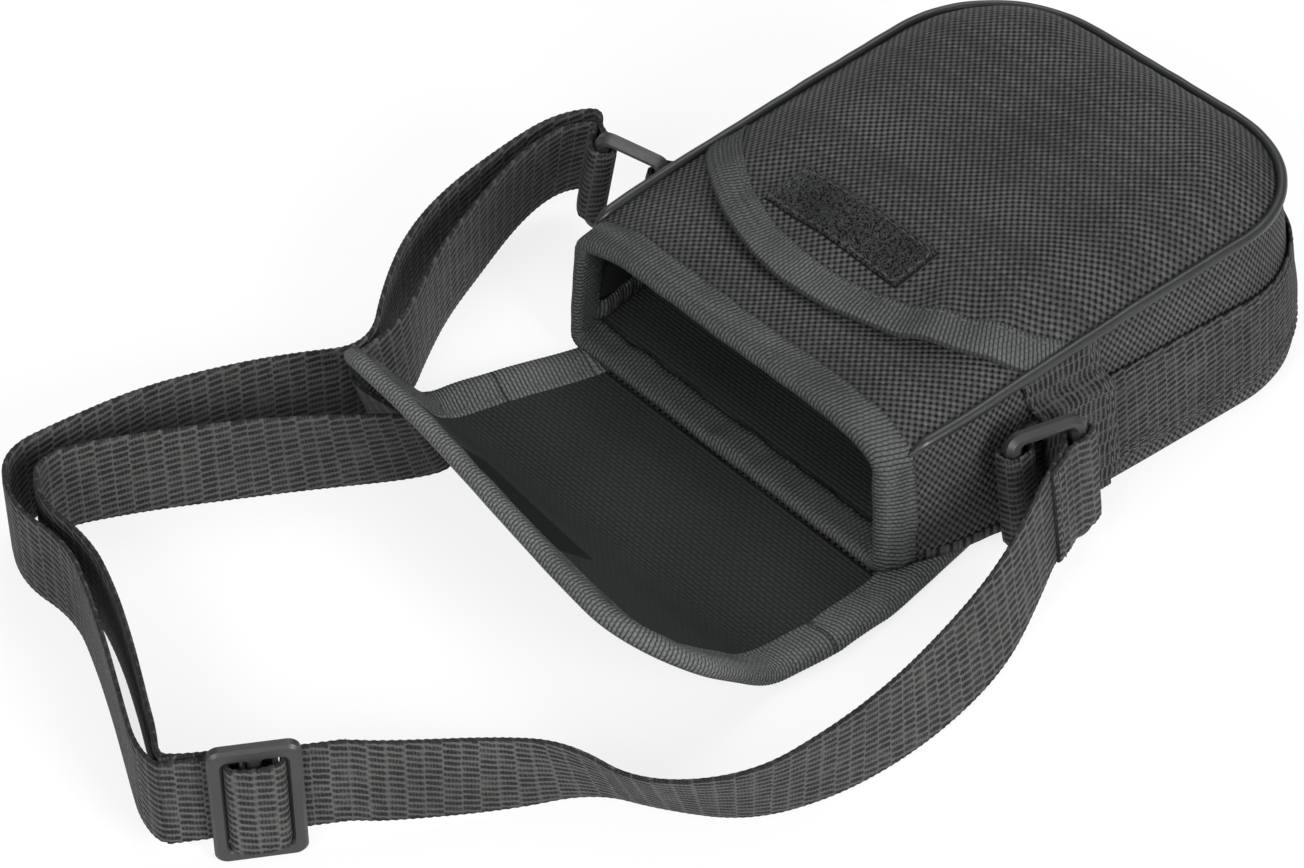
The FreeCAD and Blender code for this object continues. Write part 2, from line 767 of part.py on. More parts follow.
# Routes of the strap on the floor, chosen by hand, from the mouth's middle
slider_spot = (31.6, -162.0)
slider_heading = (-0.504, -0.864)
run_route = [
    (94.0, 0.5), (97.5, -16.5), (100.5, -36.0), (100.8, -56.0), (96.5, -77.0),
    (81.5, -92.5), (65.5, -99.0), (56.5, -114.5),
]
outer_level_route = [(18.8, -178.6), (8.5, -177.5), (3.0, -175.0)]
outer_route = [
    (-9.5, -169.5), (-23.0, -163.6), (-39.0, -157.2), (-56.0, -151.5), (-74.5, -152.5), (-91.5, -142.5),
    (-94.0, -123.0), (-90.0, -104.5), (-83.0, -87.0), (-77.0, -70.5), (-77.5, -54.0), (-89.0, -38.5),
    (-99.5, -21.5), (-105.0, -2.5),
]
outer_turn_route = [(-106.8, 20.0), (-106.0, 33.0), (-100.0, 42.5), (-95.5, 41.0)]
inner_level_route = [(15.2, -175.6), (8.0, -171.8), (3.0, -169.4)]
inner_route = [
    (-8.5, -164.0), (-20.5, -158.5), (-37.0, -151.8), (-54.0, -147.0), (-72.0, -147.5), (-84.0, -137.0),
    (-83.5, -120.5), (-77.0, -104.0), (-71.5, -87.5), (-71.5, -69.0), (-73.5, -52.5), (-84.5, -35.5),
    (-95.0, -17.5), (-100.5, -1.0),
]
inner_turn_route = [(-102.5, 16.5), (-101.8, 28.5), (-96.5, 35.8)]
strap_heading = V(slider_heading[0], slider_heading[1], 0).normalize()
slider_side = V(-strap_heading.y, strap_heading.x, 0)
slider_centre = V(slider_spot[0], slider_spot[1], slider_height / 2)


def slider_frame():
    half = slider_thickness / 2
    outer = Part.makeBox(slider_length, slider_thickness, slider_height,
                         V(-slider_length / 2, -half, -slider_height / 2))

    def cross_edges(shape):
        return [e for e in shape.Edges if abs(e.Vertexes[0].Y - e.Vertexes[-1].Y) > half]

    outer = outer.makeFillet(slider_outer_radius, cross_edges(outer))
    slot_width = (slider_length - slider_centre_bar) / 2 - slider_side_bar
    slot_height = slider_height - 2 * slider_end_bar
    frame = outer
    for side in (-1, 1):
        middle = side * (slider_centre_bar + slot_width) / 2
        slot = Part.makeBox(slot_width, slider_thickness, slot_height,
                            V(middle - slot_width / 2, -half, -slot_height / 2))
        frame = frame.cut(slot.makeFillet(slider_inner_radius, cross_edges(slot)))
    rims = [e for e in frame.Edges if abs(abs(e.CenterOfMass.y) - half) < half / 100]
    return frame.makeChamfer(slider_edge_flat, rims)


slider = set_in_frame(slider_frame(), slider_centre, strap_heading, slider_side)
half_slider = slider_thickness / 2
side_inner = slider_length / 2 - slider_side_bar
run_level = -half_slider - seat_gap - webbing / 2
tail_level = run_level - webbing - wrap_gap
short_level = tail_level - webbing - wrap_gap
loop_out = slider_centre_bar / 2 + wrap_gap + webbing / 2
loop_top = half_slider + wrap_gap + webbing / 2
wave_top = loop_top + webbing + wrap_gap


def through_slider(points, name):
    radii = [fold_radius] * (len(points) - 2)
    solid, length, ratio = ribbon(points, radii, webbing, -half_webbing, half_webbing,
                                  slider_centre, strap_heading, slider_side, V(0, 0, 1))
    print(name, round(length, 1), "mm, volume ratio", round(ratio, 4))
    return solid


wave_foot = side_inner - webbing / 4
wave_head = wave_foot - webbing * 1.75
strap_wave = through_slider([
    (-slider_reach, run_level), (-wave_foot, run_level), (-wave_head, wave_top),
    (wave_head, wave_top), (wave_foot, run_level), (slider_reach, run_level)], "strap wave")
strap_tail = through_slider([
    (slider_reach, tail_level), (loop_out, tail_level), (loop_out, loop_top),
    (-loop_out, loop_top), (-loop_out, short_level), (slider_reach - tail_setback, short_level)], "strap tail")

# Strap ends round the rings' outer bars

bar_b_right = hinge_right + ring_right_along * ring_pitch
bar_b_left = hinge_left + ring_left_along * ring_pitch
middle_wrap = wrap_inner + webbing / 2


def bar_loop(spot, frame, tilt, short_leg, long_leg, name):
    # a fold round the bar with both legs leaving mouthwards, tilt degrees out from the wall
    turn = math.radians(180 - tilt)
    origin, wall_along, wall_up, wall_out = frame
    along = wall_along * math.cos(turn) + wall_out * math.sin(turn)
    across = wall_along * math.sin(turn) - wall_out * math.cos(turn)
    leg = one_layer / 2
    points = [
        (long_leg, -leg), (wrap_meet, -leg), (wrap_open, -middle_wrap), (-middle_wrap, -middle_wrap),
        (-middle_wrap, middle_wrap), (wrap_open, middle_wrap), (wrap_meet, leg), (short_leg, leg)]
    radii = [middle_wrap, middle_wrap, middle_wrap, middle_wrap, middle_wrap, middle_wrap]
    solid, length, ratio = ribbon(points, radii, webbing, -half_webbing, half_webbing,
                                  spot, along, across, wall_up)
    print(name, round(length, 1), "mm, volume ratio", round(ratio, 4))
    return solid, spot + along * long_leg - across * leg, spot + along * short_leg + across * leg, along, across


strap_end_right, right_exit, right_short, right_way, right_side_way = bar_loop(
    bar_b_right, right_frame, exit_tilt_right, end_leg, end_leg + end_tuck, "strap end right")
strap_turn_left_model, left_exit_a, left_exit_b, left_way, left_side_way = bar_loop(
    bar_b_left, left_frame, exit_tilt_left, turn_leg, turn_leg, "strap turn left")
strap_turn_left = mirrored(strap_turn_left_model)

# Free stretches: the ends come down to the floor in ruled lofts, the rest stands on it


def card(centre, side, up):
    # the webbing's section at one place of its way
    a = side * (webbing / 2)
    b = up * half_webbing
    spots = [centre + a + b, centre - a + b, centre - a - b, centre + a - b]
    return Part.makePolygon(spots + spots[:1])


def flat_heading(a, b):
    return V(b[0] - a[0], b[1] - a[1], 0).normalize()


def card_at(spot, heading, height):
    return card(V(spot[0], spot[1], height), V(-heading.y, heading.x, 0), V(0, 0, 1))


def end_card(centre, side, up, heading):
    # a card turned the same way as those of the route that it meets
    return card(centre, side if side.dot(V(-heading.y, heading.x, 0)) > 0 else side * -1, up)


def stretch(name, sections, start=None, end=None):
    # ribbons that stand level at their own heights, with ruled ramps between them
    pieces = []
    length = 0
    radii = []
    before = start
    for height, route in sections:
        bends = bend_radii(route)
        standing, run, ratio = ribbon(route, bends, webbing, height - half_webbing, height + half_webbing,
                                      V(0, 0, 0), V(1, 0, 0), V(0, 1, 0), V(0, 0, 1))
        if before:
            ramp = Part.makeLoft([before[1], card_at(route[0], flat_heading(*route[:2]), height)], True, True)
            pieces.append(ramp)
            length += (V(route[0][0], route[0][1], height) - before[0]).Length
        pieces.append(standing)
        length += run
        radii += bends
        before = (V(route[-1][0], route[-1][1], height),
                  card_at(route[-1], flat_heading(*route[-2:]), height))
    if end:
        pieces.append(Part.makeLoft([before[1], end[1]], True, True))
        length += (end[0] - before[0]).Length
    solid = pieces[0].fuse(pieces[1:])
    print(name, "length", round(length, 1), "mm, smallest bend radius", round(min(radii), 1),
          "mm, volume ratio", round(solid.Volume / (length * webbing * webbing_width), 3))
    return solid


def slider_port(s, level):
    return slider_centre + strap_heading * s + slider_side * level


def mirror_spot(p):
    return V(-p.x, p.y, p.z)


def flat_spot(p):
    return (p.x, p.y)


floor_height = half_webbing
left_heading = mirror_spot(left_way)
left_up = mirror_spot(left_frame[2])
left_across = mirror_spot(left_side_way)
start_right = right_exit + right_way * step_gap
end_right = slider_port(-slider_reach - step_gap, run_level)
port_run = slider_port(slider_reach + step_gap, run_level)
port_tail = slider_port(slider_reach + tail_gap, tail_level)
exits = [mirror_spot(left_exit_a) + left_heading * step_gap, mirror_spot(left_exit_b) + left_heading * step_gap]
exits = sorted(exits, key=lambda p: p.y)
inner_exit = exits[0]
outer_exit = exits[1]

strap_run = stretch(
    "strap run", [(floor_height, run_route)],
    (start_right, end_card(start_right, right_side_way, right_frame[2], right_way)),
    (end_right, end_card(end_right, slider_side, V(0, 0, 1), strap_heading)))
strap_outer = stretch(
    "strap outer",
    [(port_run.z, [flat_spot(port_run)] + outer_level_route), (floor_height, outer_route),
     (turn_height, outer_turn_route)],
    None, (outer_exit, end_card(outer_exit, left_across, left_up, left_heading * -1)))
strap_inner = stretch(
    "strap inner",
    [(port_tail.z, [flat_spot(port_tail)] + inner_level_route), (floor_height, inner_route),
     (turn_height, inner_turn_route)],
    None, (inner_exit, end_card(inner_exit, left_across, left_up, left_heading * -1)))

# Write every piece

os.makedirs("parts", exist_ok=True)
pieces = {
    "back_panel": back_panel, "back_foam": back_foam, "back_lining": back_lining,
    "gusset_band": gusset_band, "gusset_foam": gusset_foam, "gusset_lining": gusset_lining,
    "front_panel": front_panel, "front_foam": front_foam, "front_lining": front_lining,
    "pocket_panel": pocket_panel, "pocket_binding": pocket_binding, "loop_patch": loop_patch,
    "front_piping": front_piping, "mouth_binding": binding,
    "back_seam_tape": back_seam_tape, "front_seam_tape": front_seam_tape,
    "gusset_webbing": gusset_webbing,
    "cross_tab_right": cross_tab_right, "cross_tab_left": cross_tab_left,
    "ring_loop_right": ring_loop_right, "ring_loop_left": ring_loop_left,
    "ring_right": ring_right, "ring_left": ring_left,
    "flap_anchor": flap_anchor, "flap_anchor_binding": flap_anchor_binding,
    "flap_lid_outer": lid_layers["outer"], "flap_lid_core": lid_layers["core"],
    "flap_lid_lining": lid_layers["lining"], "flap_lid_binding": flap_lid_binding,
    "flap_front_outer": flap_front["outer"], "flap_front_core": flap_front["core"],
    "flap_front_lining": flap_front["lining"], "flap_front_binding": flap_front_binding,
    "hook_patch": hook_patch, "slider": slider,
    "strap_end_right": strap_end_right, "strap_run": strap_run, "strap_wave": strap_wave,
    "strap_outer": strap_outer, "strap_turn_left": strap_turn_left, "strap_inner": strap_inner,
    "strap_tail": strap_tail,
}
for name, shape in pieces.items():
    write(name, shape)
print("hinge y", hinge_y - case_half, "z", flap_total, "crease y", crease_y - case_half)
print("right ring hinge", hinge_right - V(0, case_half, 0), "axis", right_frame[2])
print("left ring hinge", mirror_spot(hinge_left) - V(0, case_half, 0), "axis", left_up)
print("slider centre", slider_centre - V(0, case_half, 0), "heading", strap_heading)
print("right exit", right_exit - V(0, case_half, 0), "left exits", outer_exit, inner_exit)
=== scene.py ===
import math
import bpy
import numpy as np
from mathutils import Vector, Matrix


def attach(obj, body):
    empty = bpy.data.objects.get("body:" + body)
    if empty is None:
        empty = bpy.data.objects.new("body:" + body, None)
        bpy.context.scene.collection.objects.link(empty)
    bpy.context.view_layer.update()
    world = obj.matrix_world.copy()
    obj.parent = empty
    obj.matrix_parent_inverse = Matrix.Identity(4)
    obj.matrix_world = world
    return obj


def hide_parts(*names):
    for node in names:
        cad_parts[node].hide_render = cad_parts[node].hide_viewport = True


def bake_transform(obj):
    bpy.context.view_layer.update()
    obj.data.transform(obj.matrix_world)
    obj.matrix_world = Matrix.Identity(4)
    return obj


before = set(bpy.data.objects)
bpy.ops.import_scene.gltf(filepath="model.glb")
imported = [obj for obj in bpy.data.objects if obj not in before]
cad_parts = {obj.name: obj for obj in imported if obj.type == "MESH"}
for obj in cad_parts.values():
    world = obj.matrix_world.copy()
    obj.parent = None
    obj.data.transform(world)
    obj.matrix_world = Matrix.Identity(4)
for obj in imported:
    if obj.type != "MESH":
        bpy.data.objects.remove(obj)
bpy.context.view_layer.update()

scene = bpy.context.scene
print("frame loaded:", len(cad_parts), "nodes")

# All shapes are drawn in millimetres with the mouth at y = 0, x to the right and the closed end at y = 160.
mouthToMiddle = 80.0


def toMetres(points):
    return (np.asarray(points, float) - [0.0, mouthToMiddle, 0.0]) / 1000.0


def smooth(t):
    t = np.clip(t, 0.0, 1.0)
    return t * t * (3.0 - 2.0 * t)


def eased(low, count):
    # shares from low to 1, closer together near 1, and near -1 where that is low
    return np.sin(np.linspace(low, 1, count) * math.pi / 2)


def unit(ways):
    return ways / np.linalg.norm(ways, axis=1)[:, None]


def runOf(line):
    # distance gone along a line at each of its points
    return np.concatenate([[0.0], np.cumsum(np.linalg.norm(np.diff(line, axis=0), axis=1))])


def placesAt(line, gone, where):
    # a line's places at these distances along it
    return np.stack([np.interp(where, gone, line[:, k]) for k in range(line.shape[1])], axis=1)


def ripple(x, y, seed, size):
    # soft, repeatable unevenness between about -1 and 1, from waves of about this size
    waves, shortest, longest, calm = 7, 0.55, 1.7, 3.2
    rng = np.random.RandomState(seed)
    total = np.zeros(np.broadcast(x, y).shape)
    for _ in range(waves):
        turn = rng.uniform(0, math.tau)
        wave = size * rng.uniform(shortest, longest)
        shift = rng.uniform(0, math.tau)
        total = total + np.sin((x * math.cos(turn) + y * math.sin(turn)) * math.tau / wave + shift)
    return total / calm


def finishMesh(name, verts, faces, uvs, material):
    mesh = bpy.data.meshes.new(name)
    mesh.from_pydata([tuple(v) for v in toMetres(verts)], [], [tuple(f) for f in faces])
    if uvs is not None:
        layer = mesh.uv_layers.new(name="cloth")
        index = np.zeros(len(mesh.loops), dtype=np.int32)
        mesh.loops.foreach_get("vertex_index", index)
        layer.data.foreach_set("uv", np.asarray(uvs, float)[index].ravel())
    mesh.polygons.foreach_set("use_smooth", [True] * len(mesh.polygons))
    mesh.materials.append(material)
    piece = bpy.data.objects.new(name, mesh)
    scene.collection.objects.link(piece)
    return piece


def gridFaces(rows, cols, closed=False, flip=False):
    faces = []
    last = cols if closed else cols - 1
    for j in range(rows - 1):
        for i in range(last):
            a = j * cols + i
            b = j * cols + (i + 1) % cols
            quad = (a, b, b + cols, a + cols)
            faces.append(quad[::-1] if flip else quad)
    return faces


def thicken(piece, amount, side):
    # side 1 grows along the faces' normals and -1 against them
    wall = piece.modifiers.new("thickness", "SOLIDIFY")
    wall.thickness = amount / 1000.0
    wall.offset = side
    wall.use_even_offset = False
    wall.use_quality_normals = True


def settle(piece):
    # makes the modifiers' result the piece's own mesh
    bpy.context.view_layer.update()
    shaped = piece.evaluated_get(bpy.context.evaluated_depsgraph_get())
    mesh = bpy.data.meshes.new_from_object(shaped)
    old = piece.data
    piece.modifiers.clear()
    piece.data = mesh
    mesh.name = piece.name
    bpy.data.meshes.remove(old)
    return piece


def gridPiece(name, points, uvs, material, thickness=0.0, side=1, flip=False, closed=False):
    rows, cols = points.shape[:2]
    faces = gridFaces(rows, cols, closed, flip)
    piece = finishMesh(name, points.reshape(-1, 3), faces, uvs.reshape(-1, 2), material)
    if thickness:
        thicken(piece, thickness, side)
        settle(piece)
    return piece


def shellPiece(name, outer, inner, uvs, material):
    # a closed wall between two faces drawn on the same grid
    rows, cols = outer.shape[:2]
    count = rows * cols
    faces = gridFaces(rows, cols)
    faces += [tuple(k + count for k in face[::-1]) for face in faces]
    for i in range(cols - 1):
        low, high = i, (rows - 1) * cols + i
        faces += [(low + 1, low, low + count, low + 1 + count),
                  (high, high + 1, high + 1 + count, high + count)]
    for j in range(rows - 1):
        left, right = j * cols, j * cols + cols - 1
        faces += [(left, left + cols, left + cols + count, left + count),
                  (right + cols, right, right + count, right + cols + count)]
    verts = np.vstack([outer.reshape(-1, 3), inner.reshape(-1, 3)])
    flat = uvs.reshape(-1, 2)
    return finishMesh(name, verts, faces, np.vstack([flat, flat]), material)


class Wires:
    # adds shader nodes to one tree; a value is a number, a colour or another node's output
    def __init__(self, tree):
        self.tree = tree

    def feed(self, socket, value):
        if isinstance(value, (int, float, tuple)):
            socket.default_value = value
        else:
            self.tree.links.new(value, socket)

    def math(self, kind, *values):
        node = self.tree.nodes.new("ShaderNodeMath")
        node.operation = kind
        for socket, value in zip(node.inputs, values):
            self.feed(socket, value)
        return node.outputs[0]

    def split(self, vector):
        node = self.tree.nodes.new("ShaderNodeSeparateXYZ")
        self.feed(node.inputs[0], vector)
        return node.outputs[0], node.outputs[1], node.outputs[2]

    def mix(self, factor, a, b, colours=False):
        node = self.tree.nodes.new("ShaderNodeMix")
        node.data_type = "RGBA" if colours else "FLOAT"
        for slot, value in zip((0, 6, 7) if colours else (0, 2, 3), (factor, a, b)):
            self.feed(node.inputs[slot], value)
        return node.outputs[2 if colours else 0]

    def mixColour(self, factor, a, b):
        return self.mix(factor, a, b, colours=True)

    def noise(self, vector, scale, detail=2.0, rough=0.5):
        node = self.tree.nodes.new("ShaderNodeTexNoise")
        for label, value in (("Vector", vector), ("Scale", scale), ("Detail", detail), ("Roughness", rough)):
            self.feed(node.inputs[label], value)
        return node.outputs[0]

    def bump(self, height, strength, distance):
        node = self.tree.nodes.new("ShaderNodeBump")
        for label, value in (("Height", height), ("Strength", strength), ("Distance", distance)):
            self.feed(node.inputs[label], value)
        return node.outputs[0]

    def arch(self, share, power):
        # rises from 0 to 1 and falls again over one cell
        return self.math("POWER", self.math("SINE", self.math("MULTIPLY", share, math.pi)), power)

    def oddOnes(self, value):
        # 1 in every second cell, 0 in the others
        return self.math("FLOORED_MODULO", value, 2.0)

    def frayed(self, height, fray, amount):
        # a height roughened by a noise, never below 0
        rough = self.math("MULTIPLY_ADD", self.math("SUBTRACT", fray, 0.5), amount, height)
        return self.math("MAXIMUM", rough, 0.0)


def newGroup(name, sizes, outputs):
    # a shader group that reads a place, takes these sizes and gives these values
    tree = bpy.data.node_groups.new(name, "ShaderNodeTree")
    face = tree.interface
    face.new_socket(name="Place", in_out="INPUT", socket_type="NodeSocketVector")
    for label, value in sizes.items():
        face.new_socket(name=label, in_out="INPUT", socket_type="NodeSocketFloat").default_value = value
    for label in outputs:
        face.new_socket(name=label, in_out="OUTPUT", socket_type="NodeSocketFloat")
    start, end = tree.nodes.new("NodeGroupInput"), tree.nodes.new("NodeGroupOutput")
    return tree, start.outputs, end.inputs, Wires(tree)


def basketWeave():
    # square cells that run crosswise in turn, as in heavy nylon; coordinates in millimetres
    sizes = {"Cell Along": 1.12, "Cell Across": 1.12}
    tree, given, result, w = newGroup("basketWeave", sizes, ("Height", "Yarn"))
    place = given["Place"]
    u, v, _ = w.split(place)
    u = w.math("MULTIPLY_ADD", w.noise(place, 0.35, 1.0), 0.35, u)
    a = w.math("DIVIDE", u, given["Cell Along"])
    b = w.math("DIVIDE", v, given["Cell Across"])
    shareA, shareB = w.math("FRACT", a), w.math("FRACT", b)
    cellA, cellB = w.math("FLOOR", a), w.math("FLOOR", b)
    turn = w.oddOnes(w.math("ADD", cellA, cellB))
    both = w.math("MULTIPLY", w.arch(shareA, 0.8), w.arch(shareB, 0.8))
    alongUp = w.math("MULTIPLY_ADD", w.math("POWER", both, 0.8), 0.5, 0.5)
    acrossUp = w.math("MULTIPLY_ADD", both, -0.66, 0.56)
    strandA = w.math("SINE", w.math("MULTIPLY", shareB, math.tau * 2.0))
    strandB = w.math("SINE", w.math("MULTIPLY", shareA, math.tau * 2.0))
    strands = w.math("MULTIPLY", w.mix(turn, strandA, strandB), 0.09)
    height = w.math("ADD", w.mix(turn, alongUp, acrossUp), strands)
    white = tree.nodes.new("ShaderNodeTexWhiteNoise")
    white.noise_dimensions = "2D"
    cell = tree.nodes.new("ShaderNodeCombineXYZ")
    w.feed(cell.inputs[0], w.mix(turn, 3.0, cellA))
    w.feed(cell.inputs[1], w.mix(turn, cellB, 7.0))
    w.feed(white.inputs["Vector"], cell.outputs[0])
    w.feed(result["Height"], w.frayed(height, w.noise(place, 3.2, 2.0, 0.6), 0.5))
    w.feed(result["Yarn"], white.outputs["Value"])
    return tree


def strapWeave():
    # columns of short sunken bars between stepped lengthwise yarns, which the cloth material paints dark as
    # shade; coordinates in millimetres
    tree, given, result, w = newGroup("strapWeave", {"Row": 1.9, "Repeat": 4.1}, ("Height", "Yarn"))
    place = given["Place"]
    u, v, _ = w.split(place)
    u = w.math("MULTIPLY_ADD", w.noise(place, 0.5, 1.0), 0.9, u)
    v = w.math("MULTIPLY_ADD", w.noise(place, 0.8, 1.0), 0.45, v)
    column = w.math("DIVIDE", u, given["Repeat"])
    a = w.math("SUBTRACT", w.math("FRACT", column), 0.5)
    row = w.math("MULTIPLY_ADD", a, -0.4, w.math("DIVIDE", v, given["Row"]))
    row = w.math("MULTIPLY_ADD", w.oddOnes(w.math("FLOOR", column)), 0.24, row)
    b = w.math("SUBTRACT", w.math("FRACT", row), 0.5)
    endwise = w.math("POWER", w.math("ABSOLUTE", w.math("DIVIDE", a, 0.47)), 7.0)
    crosswise = w.math("POWER", w.math("ABSOLUTE", w.math("DIVIDE", b, 0.36)), 2.6)
    inBar = w.math("SUBTRACT", 1.0, w.math("ADD", endwise, crosswise))
    pit = w.math("POWER", w.math("MAXIMUM", inBar, 0.0), 0.5)
    patchy = w.math("MULTIPLY_ADD", w.noise(place, 0.22, 1.0), 1.3, 0.05)
    ribs = w.math("SINE", w.math("MULTIPLY", u, math.tau / 0.8))
    ridge = w.math("MULTIPLY_ADD", w.math("ABSOLUTE", b), 0.5, 0.75)
    height = w.math("SUBTRACT", ridge, w.math("MULTIPLY", pit, w.math("MINIMUM", patchy, 0.85)))
    height = w.math("MULTIPLY_ADD", ribs, w.math("MULTIPLY_ADD", pit, 0.13, 0.04), height)
    w.feed(result["Height"], w.frayed(height, w.noise(place, 2.6, 3.0, 0.7), 0.7))
    w.feed(result["Yarn"], w.noise(place, 2.2, 2.0))
    return tree


def ribbedTape():
    # fine cross ribs with a dashed look, as in folded binding tape
    tree, given, result, w = newGroup("ribbedTape", {"Rib": 0.62, "Dash": 1.3}, ("Height", "Yarn"))
    place = given["Place"]
    u, v, _ = w.split(place)
    u = w.math("MULTIPLY_ADD", w.noise(place, 0.4, 1.0), 0.4, u)
    across = w.math("DIVIDE", u, given["Rib"])
    rib = w.arch(w.math("FRACT", across), 0.6)
    shift = w.math("MULTIPLY", w.oddOnes(w.math("FLOOR", across)), 0.5)
    dash = w.math("FRACT", w.math("ADD", w.math("DIVIDE", v, given["Dash"]), shift))
    height = w.math("MULTIPLY", rib, w.math("MULTIPLY_ADD", w.arch(dash, 0.5), 0.5, 0.5))
    w.feed(result["Height"], w.frayed(height, w.noise(place, 2.6, 2.0, 0.6), 0.6))
    w.feed(result["Yarn"], w.noise(place, 2.0, 2.0))
    return tree


def handledLook():
    # slow changes of tone, lint and a fine grain; coordinates in metres
    tree, given, result, w = newGroup("handledLook", {"Size": 30.0}, ("Tone", "Lint", "Grain"))
    place = given["Place"]
    speck = w.noise(place, 2600.0, 1.0)
    lint = w.math("MULTIPLY", w.math("MAXIMUM", w.math("SUBTRACT", speck, 0.70), 0.0), 6.0)
    w.feed(result["Tone"], w.noise(place, given["Size"], 4.0))
    w.feed(result["Lint"], w.math("MINIMUM", lint, 1.0))
    w.feed(result["Grain"], w.noise(place, 5200.0, 3.0, 0.65))
    return tree


weaves = {"basket": basketWeave(), "strap": strapWeave(), "tape": ribbedTape()}
handled = handledLook()


def rgb(red, green, blue):
    return (red, green, blue, 1.0)


paleLint = rgb(0.16, 0.165, 0.17)


def newMaterial(name, patchScale):
    # a plain surface, its place in metres and the handled look there
    material = bpy.data.materials.new(name)
    material.use_nodes = True
    tree = material.node_tree
    tree.nodes.clear()
    out = tree.nodes.new("ShaderNodeOutputMaterial")
    skin = tree.nodes.new("ShaderNodeBsdfPrincipled")
    tree.links.new(skin.outputs[0], out.inputs[0])
    spot = tree.nodes.new("ShaderNodeTexCoord").outputs["Object"]
    worn = tree.nodes.new("ShaderNodeGroup")
    worn.node_tree = handled
    worn.inputs["Size"].default_value = patchScale
    tree.links.new(spot, worn.inputs["Place"])
    return material, skin.inputs, Wires(tree), spot, worn.outputs


def clothMaterial(name, look):
    # a woven finish read from the piece's own map, in millimetres, with shade painted into the gaps between its
    # yarns
    material, skin, w, _, worn = newMaterial(name, 30.0)
    uv = w.tree.nodes.new("ShaderNodeUVMap")
    uv.uv_map = "cloth"
    group = w.tree.nodes.new("ShaderNodeGroup")
    group.node_tree = weaves[look["weave"]]
    weave = group.outputs
    for label, value in look["sizes"].items():
        group.inputs[label].default_value = value
    w.feed(group.inputs["Place"], uv.outputs[0])
    share = w.math("MULTIPLY_ADD", weave["Yarn"], 0.5, w.math("MULTIPLY_ADD", worn["Tone"], 1.2, -0.35))
    yarn = w.mixColour(share, look["dark"], look["light"])
    # painted shade: the colour runs down to the dark pit colour where the weave is low, standing in for shade
    # between the yarns
    top = w.mixColour(w.math("MULTIPLY", weave["Height"], look["lift"]), look["deep"], yarn)
    w.feed(skin["Base Color"], w.mixColour(w.math("MULTIPLY", worn["Lint"], 0.3), top, paleLint))
    rough = w.math("MULTIPLY_ADD", weave["Height"], -look["shine"], look["rough"])
    w.feed(skin["Roughness"], w.math("MULTIPLY_ADD", worn["Grain"], 0.12, rough))
    body = w.math("MULTIPLY_ADD", worn["Grain"], 0.18, weave["Height"])
    w.feed(skin["Normal"], w.bump(body, 1.0, look["depth"] / 1000.0))
    w.feed(skin["Specular IOR Level"], look["specular"])
    return material


def fuzzMaterial(name, dark, light, fine, depth):
    # brushed cloth without a weave
    material, skin, w, spot, worn = newMaterial(name, 45.0)
    nap = w.noise(spot, fine, 4.0, 0.7)
    tone = w.math("MULTIPLY_ADD", worn["Tone"], 0.5, w.math("MULTIPLY", nap, 0.5))
    w.feed(skin["Base Color"], w.mixColour(tone, dark, light))
    w.feed(skin["Roughness"], w.math("MULTIPLY_ADD", nap, 0.15, 0.8))
    w.feed(skin["Normal"], w.bump(w.math("MULTIPLY_ADD", worn["Grain"], 0.5, nap), 1.0, depth / 1000.0))
    w.feed(skin["Specular IOR Level"], 0.12)
    return material


def plasticMaterial(name, dark, light, rough, grain, specular):
    material, skin, w, spot, worn = newMaterial(name, 60.0)
    scuff = w.noise(spot, 900.0, 3.0, 0.6)
    w.feed(skin["Base Color"], w.mixColour(worn["Tone"], dark, light))
    w.feed(skin["Roughness"], w.math("MULTIPLY_ADD", scuff, 0.2, rough - 0.1))
    w.feed(skin["Normal"], w.bump(w.math("MULTIPLY_ADD", worn["Grain"], 0.5, scuff), 0.6, grain / 1000.0))
    w.feed(skin["Specular IOR Level"], specular)
    return material


# In each cloth the darkest colour is shade painted into the gaps between its yarns
webbingLook = {"weave": "strap", "lift": 1.0, "rough": 0.7, "shine": 0.2, "specular": 0.16}
tapeLook = {"weave": "tape", "sizes": {"Rib": 1.1, "Dash": 1.5}, "lift": 1.1, "rough": 0.74, "shine": 0.16,
            "depth": 0.4, "specular": 0.14}
heavyNylon = clothMaterial("heavyNylon", {
    "weave": "basket", "sizes": {"Cell Along": 1.04, "Cell Across": 1.14}, "deep": rgb(0.0015, 0.0015, 0.0015),
    "dark": rgb(0.042, 0.0425, 0.0415), "light": rgb(0.106, 0.107, 0.104), "lift": 1.0,
    "rough": 0.66, "shine": 0.2, "depth": 0.42, "specular": 0.16})
strapNylon = clothMaterial("strapNylon", dict(
    webbingLook, sizes={"Row": 1.88, "Repeat": 4.1}, depth=0.45, deep=rgb(0.010, 0.0105, 0.010),
    dark=rgb(0.046, 0.048, 0.045), light=rgb(0.100, 0.103, 0.098)))
bandNylon = clothMaterial("bandNylon", dict(
    webbingLook, sizes={"Row": 1.6, "Repeat": 3.3}, depth=0.42, deep=rgb(0.006, 0.006, 0.006),
    dark=rgb(0.031, 0.0325, 0.031), light=rgb(0.078, 0.0805, 0.0775)))
edgeTape = clothMaterial("edgeTape", dict(
    tapeLook, deep=rgb(0.004, 0.0044, 0.0043), dark=rgb(0.052, 0.055, 0.0535), light=rgb(0.105, 0.110, 0.107)))
